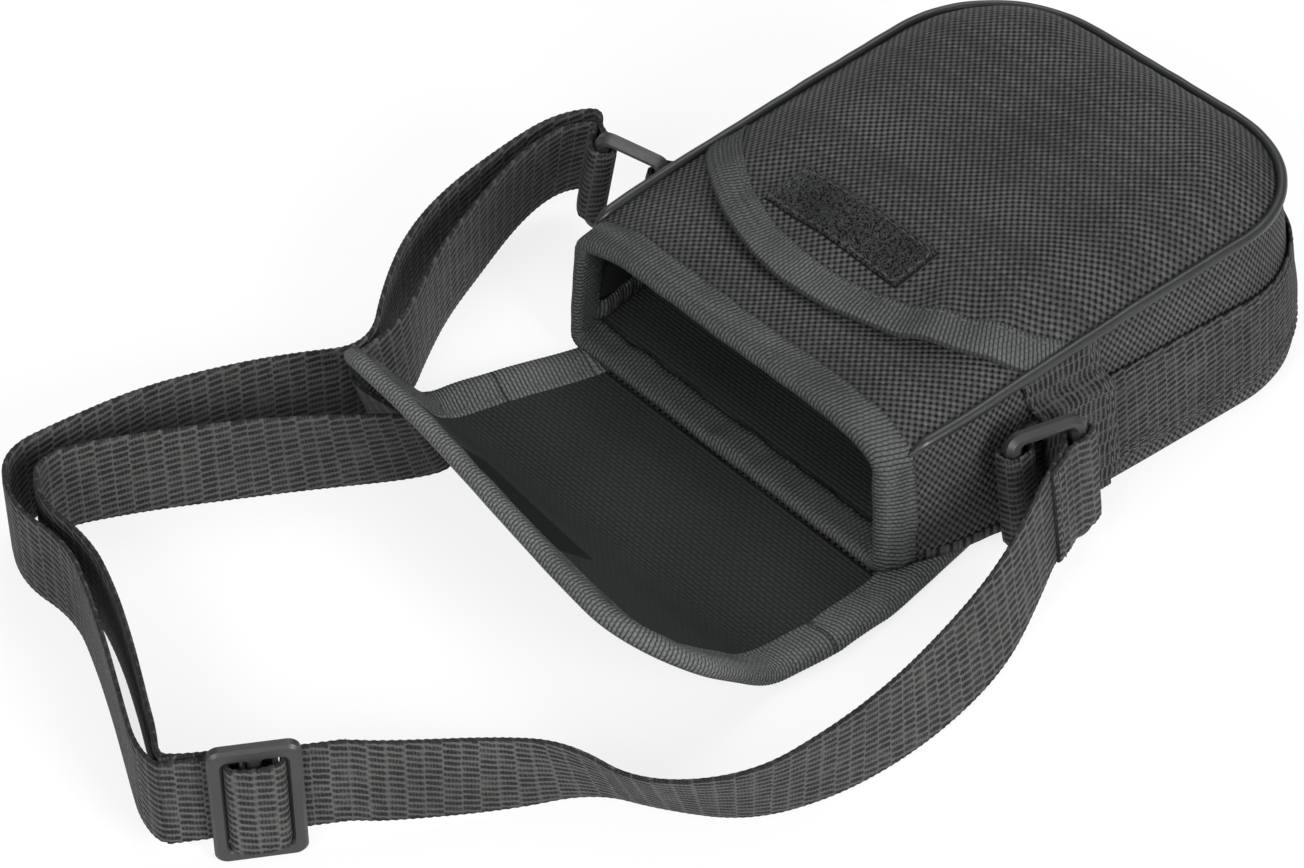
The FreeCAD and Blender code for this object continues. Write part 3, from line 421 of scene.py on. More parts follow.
# the flap's tape is the same tape as edgeTape in lighter colours: painted light where light falls on the flap's
# edge
paintedLitFlapTape = clothMaterial("paintedLitFlapTape", dict(
    tapeLook, deep=rgb(0.008, 0.0085, 0.0083), dark=rgb(0.092, 0.096, 0.094), light=rgb(0.165, 0.1715, 0.168)))
darkLining = clothMaterial("darkLining", {
    "weave": "tape", "sizes": {"Rib": 1.25, "Dash": 2.4}, "deep": rgb(0.010, 0.011, 0.0105),
    "dark": rgb(0.021, 0.023, 0.022), "light": rgb(0.036, 0.039, 0.0375), "lift": 1.0,
    "rough": 0.85, "shine": 0.08, "depth": 0.2, "specular": 0.12})
loopPile = fuzzMaterial("loopPile", rgb(0.003, 0.003, 0.0032), rgb(0.012, 0.012, 0.0125), 2600.0, 0.3)
hookBed = fuzzMaterial("hookBed", rgb(0.004, 0.0045, 0.0045), rgb(0.013, 0.0142, 0.014), 2300.0, 0.3)
fibrePile = plasticMaterial("fibrePile", rgb(0.006, 0.006, 0.0062), rgb(0.085, 0.087, 0.088), 0.6, 0.02, 0.3)
cordCover = plasticMaterial("cordCover", rgb(0.007, 0.0075, 0.0075), rgb(0.022, 0.0235, 0.023),
                            0.36, 0.05, 0.42)
mouldedPlastic = plasticMaterial("mouldedPlastic", rgb(0.012, 0.012, 0.0125), rgb(0.026, 0.026, 0.027),
                                 0.44, 0.02, 0.5)
sewingThread = plasticMaterial("sewingThread", rgb(0.036, 0.0375, 0.0365), rgb(0.085, 0.088, 0.0865),
                               0.6, 0.05, 0.35)
print("materials ready")

# Camera fitted to the photo: place in metres, turns in radians
view = {"place": (0.4931, -0.531484, 0.591111), "yaw": -0.8547567796, "pitch": 0.7158840155,
        "roll": -0.0090752260, "lens": 100.0, "sensor": 36.0, "near": 0.05, "far": 20.0}


def newCamera(name, facts):
    yaw, pitch, roll = facts["yaw"], facts["pitch"], facts["roll"]
    ahead = Vector((math.sin(yaw) * math.cos(pitch), math.cos(yaw) * math.cos(pitch), -math.sin(pitch)))
    level = Vector((math.cos(yaw), -math.sin(yaw), 0.0))
    below = ahead.cross(level)
    right = level * math.cos(roll) + below * math.sin(roll)
    down = below * math.cos(roll) - level * math.sin(roll)
    lens = bpy.data.cameras.new(name)
    lens.lens = facts["lens"]
    lens.sensor_width = facts["sensor"]
    lens.sensor_fit = "HORIZONTAL"
    lens.clip_start = facts["near"]
    lens.clip_end = facts["far"]
    camera = bpy.data.objects.new(name, lens)
    scene.collection.objects.link(camera)
    axes = Matrix((right, -down, -ahead)).transposed()
    camera.matrix_world = Matrix.Translation(facts["place"]) @ axes.to_4x4()
    return camera


scene.camera = newCamera("photoCamera", view)


def softLight(name, place, target, size, power):
    lamp = bpy.data.lights.new(name, "AREA")
    lamp.shape = "RECTANGLE"
    lamp.size, lamp.size_y = size
    lamp.energy = power
    holder = bpy.data.objects.new(name, lamp)
    scene.collection.objects.link(holder)
    way = Vector(target) - Vector(place)
    holder.matrix_world = Matrix.Translation(place) @ way.to_track_quat("-Z", "Y").to_matrix().to_4x4()


# Place, target, size in metres and power of each lamp
lamps = {
    "overhead": ((-0.35, 0.45, 1.15), (0.0, -0.04, 0.0), (0.8, 0.8), 6.5),
    "front": ((0.35, -1.25, 0.75), (0.0, -0.05, 0.02), (0.7, 0.6), 13.0),
    "right": ((1.25, -0.1, 0.55), (0.03, 0.0, 0.02), (0.6, 0.6), 20.0),
}
for lampName, lampFacts in lamps.items():
    softLight(lampName, *lampFacts)


def mixedShader(tree, outKind, share, first, second):
    # the tree shows the second shader where share is 1 and the first where it is 0
    mixer = tree.nodes.new("ShaderNodeMixShader")
    for slot, value in enumerate((share, first.outputs[0], second.outputs[0])):
        tree.links.new(value, mixer.inputs[slot])
    tree.links.new(mixer.outputs[0], tree.nodes.new(outKind).inputs[0])


def paleRoom():
    # the camera sees white, the part is lit by a dimmer, slightly blue room
    world = bpy.data.worlds.new("paleRoom")
    world.use_nodes = True
    tree = world.node_tree
    tree.nodes.clear()
    shades = []
    for colour, strength in ((rgb(0.95, 0.97, 1.0), 0.42), (rgb(1.0, 1.0, 1.0), 1.0)):
        shade = tree.nodes.new("ShaderNodeBackground")
        shade.inputs[0].default_value = colour
        shade.inputs[1].default_value = strength
        shades.append(shade)
    path = tree.nodes.new("ShaderNodeLightPath").outputs
    seen = Wires(tree).math("MAXIMUM", path["Is Camera Ray"], path["Is Transmission Ray"])
    mixedShader(tree, "ShaderNodeOutputWorld", seen, *shades)
    return world


def paleFloor():
    # nearly white where it is looked at, pale paper where light falls on it
    paint = bpy.data.materials.new("paleFloor")
    paint.use_nodes = True
    tree = paint.node_tree
    tree.nodes.clear()
    paper = tree.nodes.new("ShaderNodeBsdfDiffuse")
    paper.inputs[0].default_value = rgb(0.86, 0.86, 0.86)
    glow = tree.nodes.new("ShaderNodeEmission")
    glow.inputs[1].default_value = 1.0
    path = tree.nodes.new("ShaderNodeLightPath").outputs
    w = Wires(tree)
    seen = w.math("MAXIMUM", path["Is Glossy Ray"], path["Is Transmission Ray"])
    seen = w.math("MAXIMUM", path["Is Camera Ray"], seen)
    mixedShader(tree, "ShaderNodeOutputMaterial", w.math("MULTIPLY", seen, 0.8), paper, glow)
    half, drop = 4, -0.0002
    corners = [(-half, -half, drop), (half, -half, drop), (half, half, drop), (-half, half, drop)]
    mesh = bpy.data.meshes.new("floor")
    mesh.from_pydata(corners, [], [(0, 1, 2, 3)])
    mesh.materials.append(paint)
    return bpy.data.objects.new("floor", mesh)


scene.world = paleRoom()
floor = paleFloor()
scene.collection.objects.link(floor)
scene.view_settings.view_transform = "Standard"
print("camera, light and floor ready")

# Shoulder strap: 25 mm webbing whose edges have a small bump at each row of the weave
strap = {"width": 25.0, "thickness": 1.4, "knob": 0.14, "knobPitch": 1.9}
halfStrap = strap["width"] / 2


def readRoute(name, points):
    # the points that a smooth spline through these control points gives, in millimetres
    curve = bpy.data.curves.new(name, "CURVE")
    curve.dimensions = "3D"
    spline = curve.splines.new("NURBS")
    spline.points.add(len(points) - 1)
    for slot, spot in zip(spline.points, toMetres(points)):
        slot.co = (spot[0], spot[1], spot[2], 1.0)
    spline.order_u = 3
    spline.use_endpoint_u = True
    spline.resolution_u = 24
    holder = bpy.data.objects.new(name, curve)
    scene.collection.objects.link(holder)
    bpy.context.view_layer.update()
    mesh = bpy.data.meshes.new_from_object(holder)
    spots = np.array([tuple(v.co) for v in mesh.vertices]) * 1000.0 + [0.0, mouthToMiddle, 0.0]
    bpy.data.objects.remove(holder)
    bpy.data.curves.remove(curve)
    bpy.data.meshes.remove(mesh)
    return spots


def evenly(lines, step):
    # the same places on several lines that run side by side, about a step apart on the first
    gone = runOf(lines[0])
    count = max(8, int(round(gone[-1] / step)) + 1)
    where = np.linspace(0.0, gone[-1], count)
    return where, [placesAt(line, gone, where) for line in lines]


def ribbonMesh(name, centre, tip, material, width=strap["width"], thickness=strap["thickness"], step=0.6,
               uStart=0.0, widths=None):
    # a woven strip that follows centre, with its upper edge towards tip
    where, (mid, top) = evenly([np.asarray(centre, float), np.asarray(tip, float)], step)
    up = top - mid
    up = unit(up)
    way = np.gradient(mid, axis=0)
    way = unit(way)
    out = np.cross(way, up)
    out = unit(out)
    half, rounding, underSide = width / 2, 0.35, 60.0
    flat = np.linspace(-half + rounding, half - rounding, 11)
    section = [(a, thickness / 2) for a in flat] + [(half, 0.0)]
    section += [(a, -thickness / 2) for a in flat[::-1]] + [(-half, 0.0)]
    section = np.array(section)
    count = len(section)
    n = len(where)
    beat = np.sin((where + uStart) * math.tau / strap["knobPitch"])
    verts = np.zeros((n, count, 3))
    uvs = np.zeros((n, count, 2))
    shares = 1.0 if widths is None else np.interp(where, *widths)
    for k, (a, b) in enumerate(section):
        edge = abs(a) > half - 0.5
        across = a * shares + (math.copysign(strap["knob"], a) * beat if edge else 0.0)
        lift = b * (0.8 if edge else 1.0)
        verts[:, k] = mid + up * np.reshape(across, (-1, 1)) + out * np.reshape(lift, (-1, 1))
        uvs[:, k, 0] = where + uStart
        uvs[:, k, 1] = a + half + (0.0 if b >= 0 else underSide)
    faces = gridFaces(n, count, closed=True)
    faces.append(tuple(range(count))[::-1])
    faces.append(tuple((n - 1) * count + k for k in range(count)))
    return finishMesh(name, verts.reshape(-1, 3), faces, uvs.reshape(-1, 2), material), mid


def leaning(route, leans, heights):
    # control points of the strip's middle and of its upper edge; a lean is how far the upper edge hangs over
    middle, tips = [], []
    for spot, lean, z in zip(route, leans, heights):
        rise = math.sqrt(halfStrap ** 2 - lean[0] ** 2 - lean[1] ** 2)
        middle.append((spot[0], spot[1], z))
        tips.append((spot[0] + lean[0], spot[1] + lean[1], z + rise))
    return middle, tips


# Slider: its middle, the strap's way through it, the way across, its height and the layers' distances across
sliderSpot = (31.6, -162.0)
sliderHeading = (-0.50387, -0.86378)
sliderSide = (0.86378, -0.50387)
sliderHeight = 17.0
runLevel, tailLevel = -2.6, -4.25
# Upward ways along the leaning walls at the two rings
rightUp = Vector((-0.20607, 0.00497, 0.97851))
leftUp = Vector((0.20416, 0.00492, 0.97891))


def alongSlider(gone, level, z=sliderHeight):
    return (sliderSpot[0] + sliderHeading[0] * gone + sliderSide[0] * level,
            sliderSpot[1] + sliderHeading[1] * gone + sliderSide[1] * level, z)


runRoute = [
    (83.97, 26.51), (90.0, 13.5), (94.0, 0.5), (97.5, -16.5), (100.5, -36.0), (100.8, -56.0), (96.5, -77.0),
    (81.5, -92.5), (65.5, -99.0), (56.5, -114.5),
]
runLeans = [
    (-2.6, 0.1), (-2.9, 0.0), (-3.4, 0.0), (-2.8, 0.0), (-1.2, 0.0), (0.8, -0.6), (3.4, -3.0), (3.0, -6.2),
    (1.2, -4.6), (0.8, -0.4),
]
runHeights = [22.6, 18.6, 14.2, 12.4, 12.5, 12.6, 11.8, 10.8, 11.8, 12.9]
runMiddle, runTips = leaning(runRoute, runLeans, runHeights)
for gone, height in ((-27.0, 15.2), (-20.5, 17.0), (-15.8, 17.0)):
    port = alongSlider(gone, runLevel, height)
    runMiddle.append(port)
    runTips.append((port[0], port[1], port[2] + halfStrap))
strapRun, runPath = ribbonMesh("strapRun", readRoute("runMiddle", runMiddle), readRoute("runTips", runTips),
                               strapNylon)
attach(strapRun, "case")
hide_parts("strap_run")

outerRoute = [
    (20.0, -177.3, 17.0), (16.8, -178.9, 16.6), (8.5, -177.5, 15.6), (-0.5, -173.6, 14.0), (-9.5, -169.5, 12.8),
    (-23.0, -163.6, 12.65), (-39.0, -157.2, 12.65), (-56.0, -151.5, 12.65), (-75.5, -154.5, 12.65),
    (-93.0, -146.0, 12.65), (-92.5, -127.0, 12.65), (-90.5, -107.0, 12.65), (-84.5, -88.0, 12.65),
    (-77.5, -72.0, 12.65), (-67.5, -55.0, 12.65), (-84.0, -38.5, 12.65), (-97.0, -21.5, 12.65),
    (-105.0, -2.5, 13.2), (-106.8, 20.0, 16.6), (-106.0, 33.0, 19.4), (-100.0, 41.5, 22.2), (-95.5, 40.6, 23.6),
    (-92.5, 37.3, 24.3),
]
innerRoute = [
    (18.5, -175.9, 17.0), (14.6, -175.9, 16.6), (8.0, -171.8, 15.6), (-0.2, -168.0, 14.0), (-8.5, -164.0, 12.8),
    (-20.5, -158.5, 12.65), (-37.0, -151.8, 12.65), (-54.0, -147.0, 12.65), (-74.0, -148.5, 12.65),
    (-87.0, -140.0, 12.65), (-78.0, -119.0, 12.65), (-67.5, -100.0, 12.65), (-58.0, -84.0, 12.6),
    (-42.2, -60.4, 12.2), (-42.5, -54.8, 10.7), (-67.0, -64.0, 12.2), (-70.0, -43.5, 12.5),
    (-77.5, -32.5, 12.65), (-88.0, -17.0, 12.8), (-96.0, 1.0, 13.6), (-101.0, 16.5, 16.6), (-101.8, 27.8, 19.4), (-98.0, 34.4, 22.4),
    (-93.2, 36.0, 24.4),
]
# Share by which the inner strip leans over at these control points, in its turn under the flap
innerLeans = {13: 0.08, 14: 0.28, 15: 0.55, 16: 0.3, 17: 0.1}


def doubledStrip(name, port, route, leans):
    # stands on edge from the slider and takes the left ring's slant over its last points
    middle = [port] + route
    slantPoints = 6
    tips = []
    for k, spot in enumerate(middle):
        toRing = smooth((k - (len(middle) - slantPoints)) / (slantPoints - 1))
        lean = leans.get(k, 0.0)
        upright = Vector((0, -lean, math.sqrt(1.0 - lean * lean)))
        up = upright.lerp(leftUp, float(toRing)).normalized() * halfStrap
        tips.append((spot[0] + up.x, spot[1] + up.y, spot[2] + up.z))
    return ribbonMesh(name, readRoute(name + "Middle", middle), readRoute(name + "Tips", tips), strapNylon)


portRun = 7.6
strapOuter, outerPath = doubledStrip("strapOuter", alongSlider(portRun, runLevel), outerRoute, {})
strapInner, innerPath = doubledStrip("strapInner", alongSlider(portRun, tailLevel), innerRoute, innerLeans)
for piece, node in ((strapOuter, "strap_outer"), (strapInner, "strap_inner")):
    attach(piece, "case")
    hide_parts(node)


def foldedStrip(name, spot, alongWay, acrossWay, upWay, points, body, node, material=strapNylon,
                width=strap["width"], thickness=strap["thickness"], uStart=0.0, widths=None):
    # a short strip folded round a bar; each point is its distance along, across and, if given, up
    middle = [spot + alongWay * p[0] + acrossWay * p[1] + upWay * sum(p[2:]) for p in points]
    tips = [m + upWay * (width / 2) for m in middle]
    piece, _ = ribbonMesh(name, readRoute(name, middle), readRoute(name + "Tip", tips), material, width=width,
                          thickness=thickness, step=0.5, uStart=uStart, widths=widths)
    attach(piece, body)
    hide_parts(node)
    return piece


# Wall frames at the rings: hinge bar, along the wall, out of it and up it
rightHinge = Vector((69.912, 30.813, 19.639))
leftHinge = Vector((-70.157, 39.313, 19.624))
rightAlong = Vector((2.0, 83.0, 0.0)).normalized()
rightOut = rightAlong.cross(rightUp).normalized()
leftAlong = Vector((-rightAlong.x, rightAlong.y, 0.0))
leftOut = Vector((-rightOut.x, rightOut.y, rightOut.z))


def turned(wallAlong, wallOut, degrees):
    # the way along the wall, turned this far out of it
    turn = math.radians(degrees)
    return wallAlong * math.cos(turn) + wallOut * math.sin(turn)


def foldPoints(longLeg, shortLeg):
    # round a ring's bar: out along one leg, round the bar and back along the other
    leg, wrap = 0.73, 3.15
    return [(longLeg, -leg), (10.0, -leg), (6.2, -leg), (3.2, -wrap * 0.9), (0.4, -wrap), (-wrap, -wrap),
            (-wrap, wrap), (0.4, wrap), (3.2, wrap * 0.9), (6.2, leg), (10.0, leg), (shortLeg - 4.0, leg),
            (shortLeg, leg * 0.3)]


def wallward(wallAlong, wallOut, tilt):
    # the ways along and across a strip that leaves its ring at this tilt from the wall
    turn = math.radians(180 - tilt)
    return (wallAlong * math.cos(turn) + wallOut * math.sin(turn),
            wallAlong * math.sin(turn) - wallOut * math.cos(turn))


ringReach = 17.5
barRight = rightHinge + turned(rightAlong, rightOut, 15.5) * ringReach
barLeft = leftHinge + turned(leftAlong, leftOut, 112.0) * ringReach
endWay, endAcross = wallward(rightAlong, rightOut, 27.0)
strapEnd = foldedStrip("strapEndRight", barRight, endWay, endAcross, rightUp, foldPoints(23.0, 20.0),
                       "right_ring", "strap_end_right")
turnWay, turnAcross = wallward(leftAlong, leftOut, 122.0)
turnPoints = [(8.0, -0.73), (6.8, -0.73), (4.6, -1.5), (2.4, -3.1), (-3.15, -3.15), (-3.15, 3.15), (2.4, 3.1),
              (4.6, 1.5), (6.8, 0.73), (8.0, 0.73)]
strapTurn = foldedStrip("strapTurnLeft", barLeft, turnWay, turnAcross, leftUp, turnPoints,
                        "left_ring", "strap_turn_left")


def runLength(path):
    # in metres
    return float(np.linalg.norm(np.diff(path, axis=0), axis=1).sum()) / 1000.0


sliderFrame = (
    Vector((sliderSpot[0], sliderSpot[1], sliderHeight)),
    Vector((sliderHeading[0], sliderHeading[1], 0.0)).normalized(),
    Vector((sliderSide[0], sliderSide[1], 0.0)).normalized(),
    Vector((0.0, 0.0, 1.0)),
)
wavePoints = [(-20.2, -2.6), (-9.5, -2.6), (-6.8, -2.6), (-6.2, -1.6), (-6.1, 1.3), (-5.2, 2.8), (0.0, 3.4),
              (5.2, 2.8), (6.1, 1.3), (6.2, -1.6), (6.8, -2.6), (9.5, -2.6), (20.2, -2.6)]
tailPoints = [(20.2, -4.25), (9.0, -4.25), (3.6, -4.2, -0.4), (2.55, -3.2, -0.8), (2.55, 0.5, -1.0),
              (2.3, 2.25, -1.0), (-1.0, 2.35, -1.0), (-4.2, 2.0, -1.0), (-4.7, 0.5, -1.0), (-4.7, -3.6, -1.0),
              (-3.4, -5.4, -1.0), (1.0, -5.6, -1.0), (5.5, -5.6, -1.0)]
# The wave begins inside the run's end, and its weave goes on from there
waveOverlap = 4.4
strapWave = foldedStrip("strapWave", *sliderFrame, wavePoints, "slider_body", "strap_wave", width=25.15,
                        thickness=1.5, uStart=runLength(runPath) * 1000.0 - waveOverlap,
                        widths=([12.5, 16.0, 34.0, 37.5], [1.0, 1.045, 1.045, 1.0]))
strapTail = foldedStrip("strapTail", *sliderFrame, tailPoints, "slider_body", "strap_tail", width=25.1,
                        thickness=1.46, widths=([11.0, 15.0], [1.0, 0.95]))

for piece, path, extras in (
        (strapRun, runPath, [strapEnd]),
        (strapOuter, outerPath, [strapWave, strapTail, "slider"]),
        (strapInner, innerPath, [strapTurn])):
    spots = toMetres(path)
print("strap ready")

# Case: half widths at the mouth, body and end on the floor, lean of each inwards per millimetre of height, the
# seam's height at the mouth and its rise, and the back's step up over the flap's root
case = {
    "mouth": 57.0, "body": 66.0, "end": 68.0, "length": 160.0, "endRadius": 43.0, "shoulder": 34.0,
    "leanMouth": 0.055, "leanBody": 0.21, "leanEnd": 0.19, "seamMouth": 37.0, "seamRise": 11.0, "wall": 3.4,
    "mouthLift": 4.0, "rest": 0.1, "stepStart": 29.0, "stepRun": 15.0,
}
headZ = 40.0


def planOutline(z):
    # right mouth corner, shoulder, side, end corner and half the end, then the same mirrored
    mouth = case["mouth"] - case["leanMouth"] * z
    body = case["body"] - case["leanBody"] * z
    end = case["end"] - case["leanEnd"] * z
    length = case["length"] - case["leanEnd"] * z
    radius = case["endRadius"] - case["leanEnd"] * z
    slant = math.atan2(end - body, length - radius - case["shoulder"])
    touch = (end, length - radius - radius * math.sin(slant))
    centreX = end - radius * math.cos(slant)
    bendY = case["shoulder"] / 2
    bendX = body - math.tan(slant) * bendY
    points = []
    for t in np.linspace(0, 1, 25)[:-1]:
        points.append(((1 - t) ** 2 * mouth + 2 * t * (1 - t) * bendX + t * t * body,
                       2 * t * (1 - t) * bendY + t * t * case["shoulder"]))
    for t in np.linspace(0, 1, 55)[:-1]:
        points.append((body + (touch[0] - body) * t, case["shoulder"] + (touch[1] - case["shoulder"]) * t))
    for t in np.linspace(0, 1, 45)[:-1]:
        turn = -slant + (math.pi / 2 + slant) * t
        points.append((centreX + radius * math.cos(turn), length - radius + radius * math.sin(turn)))
    for t in np.linspace(0, 1, 17):
        points.append((centreX * (1 - t), length))
    points = np.array(points)
    other = points[-2::-1] * [-1.0, 1.0]
    return np.vstack([points, other])


def seamHeight(y):
    toEnd = np.clip(1.0 - y / case["length"], 0.0, 1.0)
    return case["seamMouth"] + case["seamRise"] * (1.0 - np.power(toEnd, 1.6))


def ground(y):
    # outer face of the back: it steps up over the flap's root towards the mouth
    lifted = 1.0 - smooth((y - case["stepStart"]) / case["stepRun"])
    return case["rest"] + (case["mouthLift"] - case["rest"]) * lifted


footLine = planOutline(0.0)
headLine = planOutline(headZ)
wallRun = runOf(footLine)
wallLength = wallRun[-1]
footWay = unit(np.gradient(footLine, axis=0))
wallUpWay = np.column_stack([headLine - footLine, np.full(len(footLine), headZ)])
wallOutWay = unit(np.cross(np.column_stack([footWay, np.zeros(len(footLine))]), wallUpWay))
middleSlot = len(footLine) // 2


def runAt(y, side):
    # how far along the wall's foot this y is, on the right (1) or left (-1) side
    here = np.interp(y, footLine[:middleSlot, 1], wallRun[:middleSlot])
    return here if side > 0 else wallLength - here


def wallSpot(u, z, off):
    # a place on the side wall: along the foot, height and distance out of it
    u = np.asarray(u, float)

    def pick(values):
        return np.interp(u, wallRun, values)

    x, y = [pick(footLine[:, k]) + (pick(headLine[:, k]) - pick(footLine[:, k])) * z / headZ for k in range(2)]
    return np.stack([x + pick(wallOutWay[:, 0]) * off, y + pick(wallOutWay[:, 1]) * off,
                     z + pick(wallOutWay[:, 2]) * off + np.zeros_like(x)], axis=-1)


def wallY(u):
    return np.interp(u, wallRun, footLine[:, 1])


def wallSwell(u, z):
    # the padded wall's own swelling, none where the rings' webbing lies
    y = wallY(u)
    rise = np.clip((z - ground(y)) / (seamHeight(y) - ground(y)), 0.0, 1.0)
    body = 0.9 * np.sin(math.pi * rise) * smooth((y - 66.0) / 20.0)
    soft = 0.45 * ripple(u, z * 1.4, 11, 42.0) * np.sin(math.pi * rise) * smooth((y - 62.0) / 24.0)
    return body + soft


def headPucker(u, z):
    # small puckers of the wall under the seam
    below = seamHeight(wallY(u)) - z
    waves = 0.5 + 0.5 * np.sin(u * math.tau / 5.2 + 2.2 * ripple(u, 0.0, 3, 40.0))
    return -0.28 * waves * np.exp(-np.abs(below - 1.5) / 2.2)


def underTape(y):
    # 1 where the mouth's tape lies over the case, 0 behind it
    return smooth((9.0 - y) / 3.0)


def wallGrid(us, shares, off):
    # a grid round the wall: place along the foot, height and spot of each point
    u, share = np.meshgrid(us, shares)
    low = ground(wallY(u))
    z = low + (seamHeight(wallY(u)) - low) * share
    return u, z, wallSpot(u, z, off(u, z))


def wallThickness(y):
    # the padding is sewn thin at the mouth
    return 1.1 + 1.75 * smooth((y - 2.0) / 12.0)


wallColumns = np.linspace(0.0, wallLength, 300)
wallShares = np.concatenate([[0.0, 0.01, 0.03, 0.06], np.linspace(0.1, 0.9, 20), [0.94, 0.97, 1.0]])


def outerOff(u, z):
    # the wall's outer face: swollen, puckered, tucked in at its foot and sunk under the mouth's tape
    y = wallY(u)
    up = z - ground(y)
    tuck = np.exp(-up / 0.7) - 0.6 * np.exp(-((up - 3.0) / 2.2) ** 2) * smooth((y - 62.0) / 20.0)
    sunk = 0.7 * underTape(y) * np.clip(1.0 - (seamHeight(y) - z) / 4.0, 0.0, 1.0)
    return wallSwell(u, z) + headPucker(u, z) - 1.1 * tuck - sunk


def innerOff(u, z):
    return outerOff(u, z) - wallThickness(wallY(u))


u, z, spots = wallGrid(wallColumns, wallShares, outerOff)
gusset = shellPiece("gusset", spots, wallSpot(u, z, innerOff(u, z)), np.stack([u, z], axis=-1), heavyNylon)
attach(gusset, "case")
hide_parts("gusset_band", "gusset_foam")

lining = {"gap": 0.08, "thickness": 0.45}
u, z, spots = wallGrid(wallColumns[::2], wallShares[::2], lambda u, z: innerOff(u, z) - lining["gap"])
gussetLining = gridPiece("gussetLining", spots, np.stack([z, u], axis=-1), darkLining, lining["thickness"], -1)
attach(gussetLining, "case")
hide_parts("gusset_lining")

# The seam's line round the front, with its heights
seamSpots = []
for foot, head in zip(footLine, headLine):
    lean = (head - foot) / headZ
    y = foot[1]
    for _ in range(3):
        y = foot[1] + lean[1] * seamHeight(y)
    seamSpots.append((foot[0] + lean[0] * seamHeight(y), y, float(seamHeight(y))))
seamLine = np.array(seamSpots)
seamEndY = seamLine[:, 1].max()
cornerDone = int(np.argmax(seamLine[:middleSlot, 1] >= seamEndY - 1e-6))


def halfWidth(y):
    return np.interp(y, seamLine[:cornerDone + 1, 1], seamLine[:cornerDone + 1, 0])


def seamDistance(x, y):
    # how far a place on the front is from the seam round it
    flat = np.stack([x.ravel(), y.ravel()], axis=1)
    best = np.full(len(flat), 1e9)
    a = seamLine[:-1, :2]
    d = seamLine[1:, :2] - a
    size = (d * d).sum(axis=1)
    for k in range(len(a)):
        t = np.clip(((flat - a[k]) @ d[k]) / size[k], 0.0, 1.0)
        gap = np.linalg.norm(flat - a[k] - t[:, None] * d[k], axis=1)
        best = np.minimum(best, gap)
    return best.reshape(x.shape)


def dome(distance, reach=25.0):
    # padding's rise from the seam: 0 at it and 1 this far from it
    t = np.clip(distance / reach, 0.0, 1.0)
    return 1.0 - np.power(1.0 - t, 2.4)


def seamPucker(x, y, distance):
    turn = np.arctan2(x, y - 60.0) * 60.0
    waves = 0.5 + 0.5 * np.sin(turn * math.tau / 6.0 + 2.0 * ripple(x, y, 8, 50.0))
    return -0.35 * waves * np.exp(-np.abs(distance - 2.5) / 2.4)


def frontHeight(x, y, distance):
    crown = 4.6 + 0.4 * smooth(1.0 - y / 30.0)
    soft = 0.35 * ripple(x, y, 21, 55.0) * dome(distance)
    return seamHeight(y) + crown * dome(distance) + soft


# Pocket's edge: an arc this far from the mouth at its middle, sagging this much over this half width
pocketEdge = {"start": 21.0, "sag": 22.0, "half": 55.0}
edgeRadius = (pocketEdge["half"] ** 2 + pocketEdge["sag"] ** 2) / (2 * pocketEdge["sag"])
edgeMiddleY = pocketEdge["start"] + edgeRadius


def edgeBack(x):
    # where the pocket's edge is, from the mouth
    return edgeMiddleY - np.sqrt(np.maximum(edgeRadius * edgeRadius - x * x, 1.0))


def edgeDistance(x, y):
    return edgeRadius - np.sqrt(x * x + (y - edgeMiddleY) ** 2)


def pocketHeight(x, y, distance):
    inward = edgeDistance(x, y)
    crown = 8.0 + 2.9 * smooth(inward / 34.0)
    crown = crown - 0.8 * np.exp(-((x - 4.0) / 34.0) ** 2) * np.exp(-np.maximum(inward, 0.0) / 9.0)
    rightWaves = np.sin((x + 0.5 * y) * math.tau / 17.0 + 0.8) * smooth((x - 12.0) / 20.0)
    leftWaves = np.sin((x - 0.4 * y) * math.tau / 21.0) * smooth((-x - 14.0) / 18.0)
    folds = 0.75 * np.exp(-((inward - 9.0) / 12.0) ** 2) * rightWaves
    folds = folds + 0.5 * np.exp(-((inward - 12.0) / 12.0) ** 2) * leftWaves
    soft = (0.55 * ripple(x, y, 31, 60.0) + 0.22 * ripple(x, y, 32, 22.0)) * dome(distance)
    pucker = seamPucker(x, y, distance)
    return seamHeight(y) + crown * dome(distance) + (folds + soft) * dome(distance, 14.0) + pucker


share, y = np.meshgrid(eased(-1, 91), seamEndY * eased(0, 90))
x = share * halfWidth(y)
distance = seamDistance(x, y)
frontTop = frontHeight(x, y, distance)
sunk = 0.9 * underTape(y) * np.clip(1.0 - distance / 4.0, 0.0, 1.0)
frontSpots = np.stack([x * (1.0 - 0.010 * underTape(y)), y, frontTop - sunk], axis=-1)
frontUnder = frontSpots - np.stack([share * 1.2, 0.0 * y, wallThickness(y)], axis=-1)
frontPanel = shellPiece("frontPanel", frontSpots, frontUnder, np.stack([x, y], axis=-1), heavyNylon)
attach(frontPanel, "case")
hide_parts("front_panel", "front_foam")
inner = np.stack([x * (halfWidth(y) - case["wall"]) / halfWidth(y), y * 0.978,
                  frontTop - wallThickness(y) - lining["gap"] - sunk], axis=-1)
liningRows, liningColumns = slice(0, -4), slice(4, -4)
frontLining = gridPiece("frontLining", inner[liningRows, liningColumns],
                        np.stack([y, x], axis=-1)[liningRows, liningColumns], darkLining,
                        lining["thickness"], -1)
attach(frontLining, "case")
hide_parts("front_lining")


def pocketGrid(count, rows):
    # over the front, from the pocket's curved edge to the closed end
    share = eased(-1, count)
    start = np.full(count, 30.0)
    for _ in range(30):
        start = 0.5 * start + 0.5 * edgeBack(share * halfWidth(start))
    y = start[None, :] + (seamEndY - start[None, :]) * eased(0, rows)[:, None]
    return share[None, :] * halfWidth(y), y


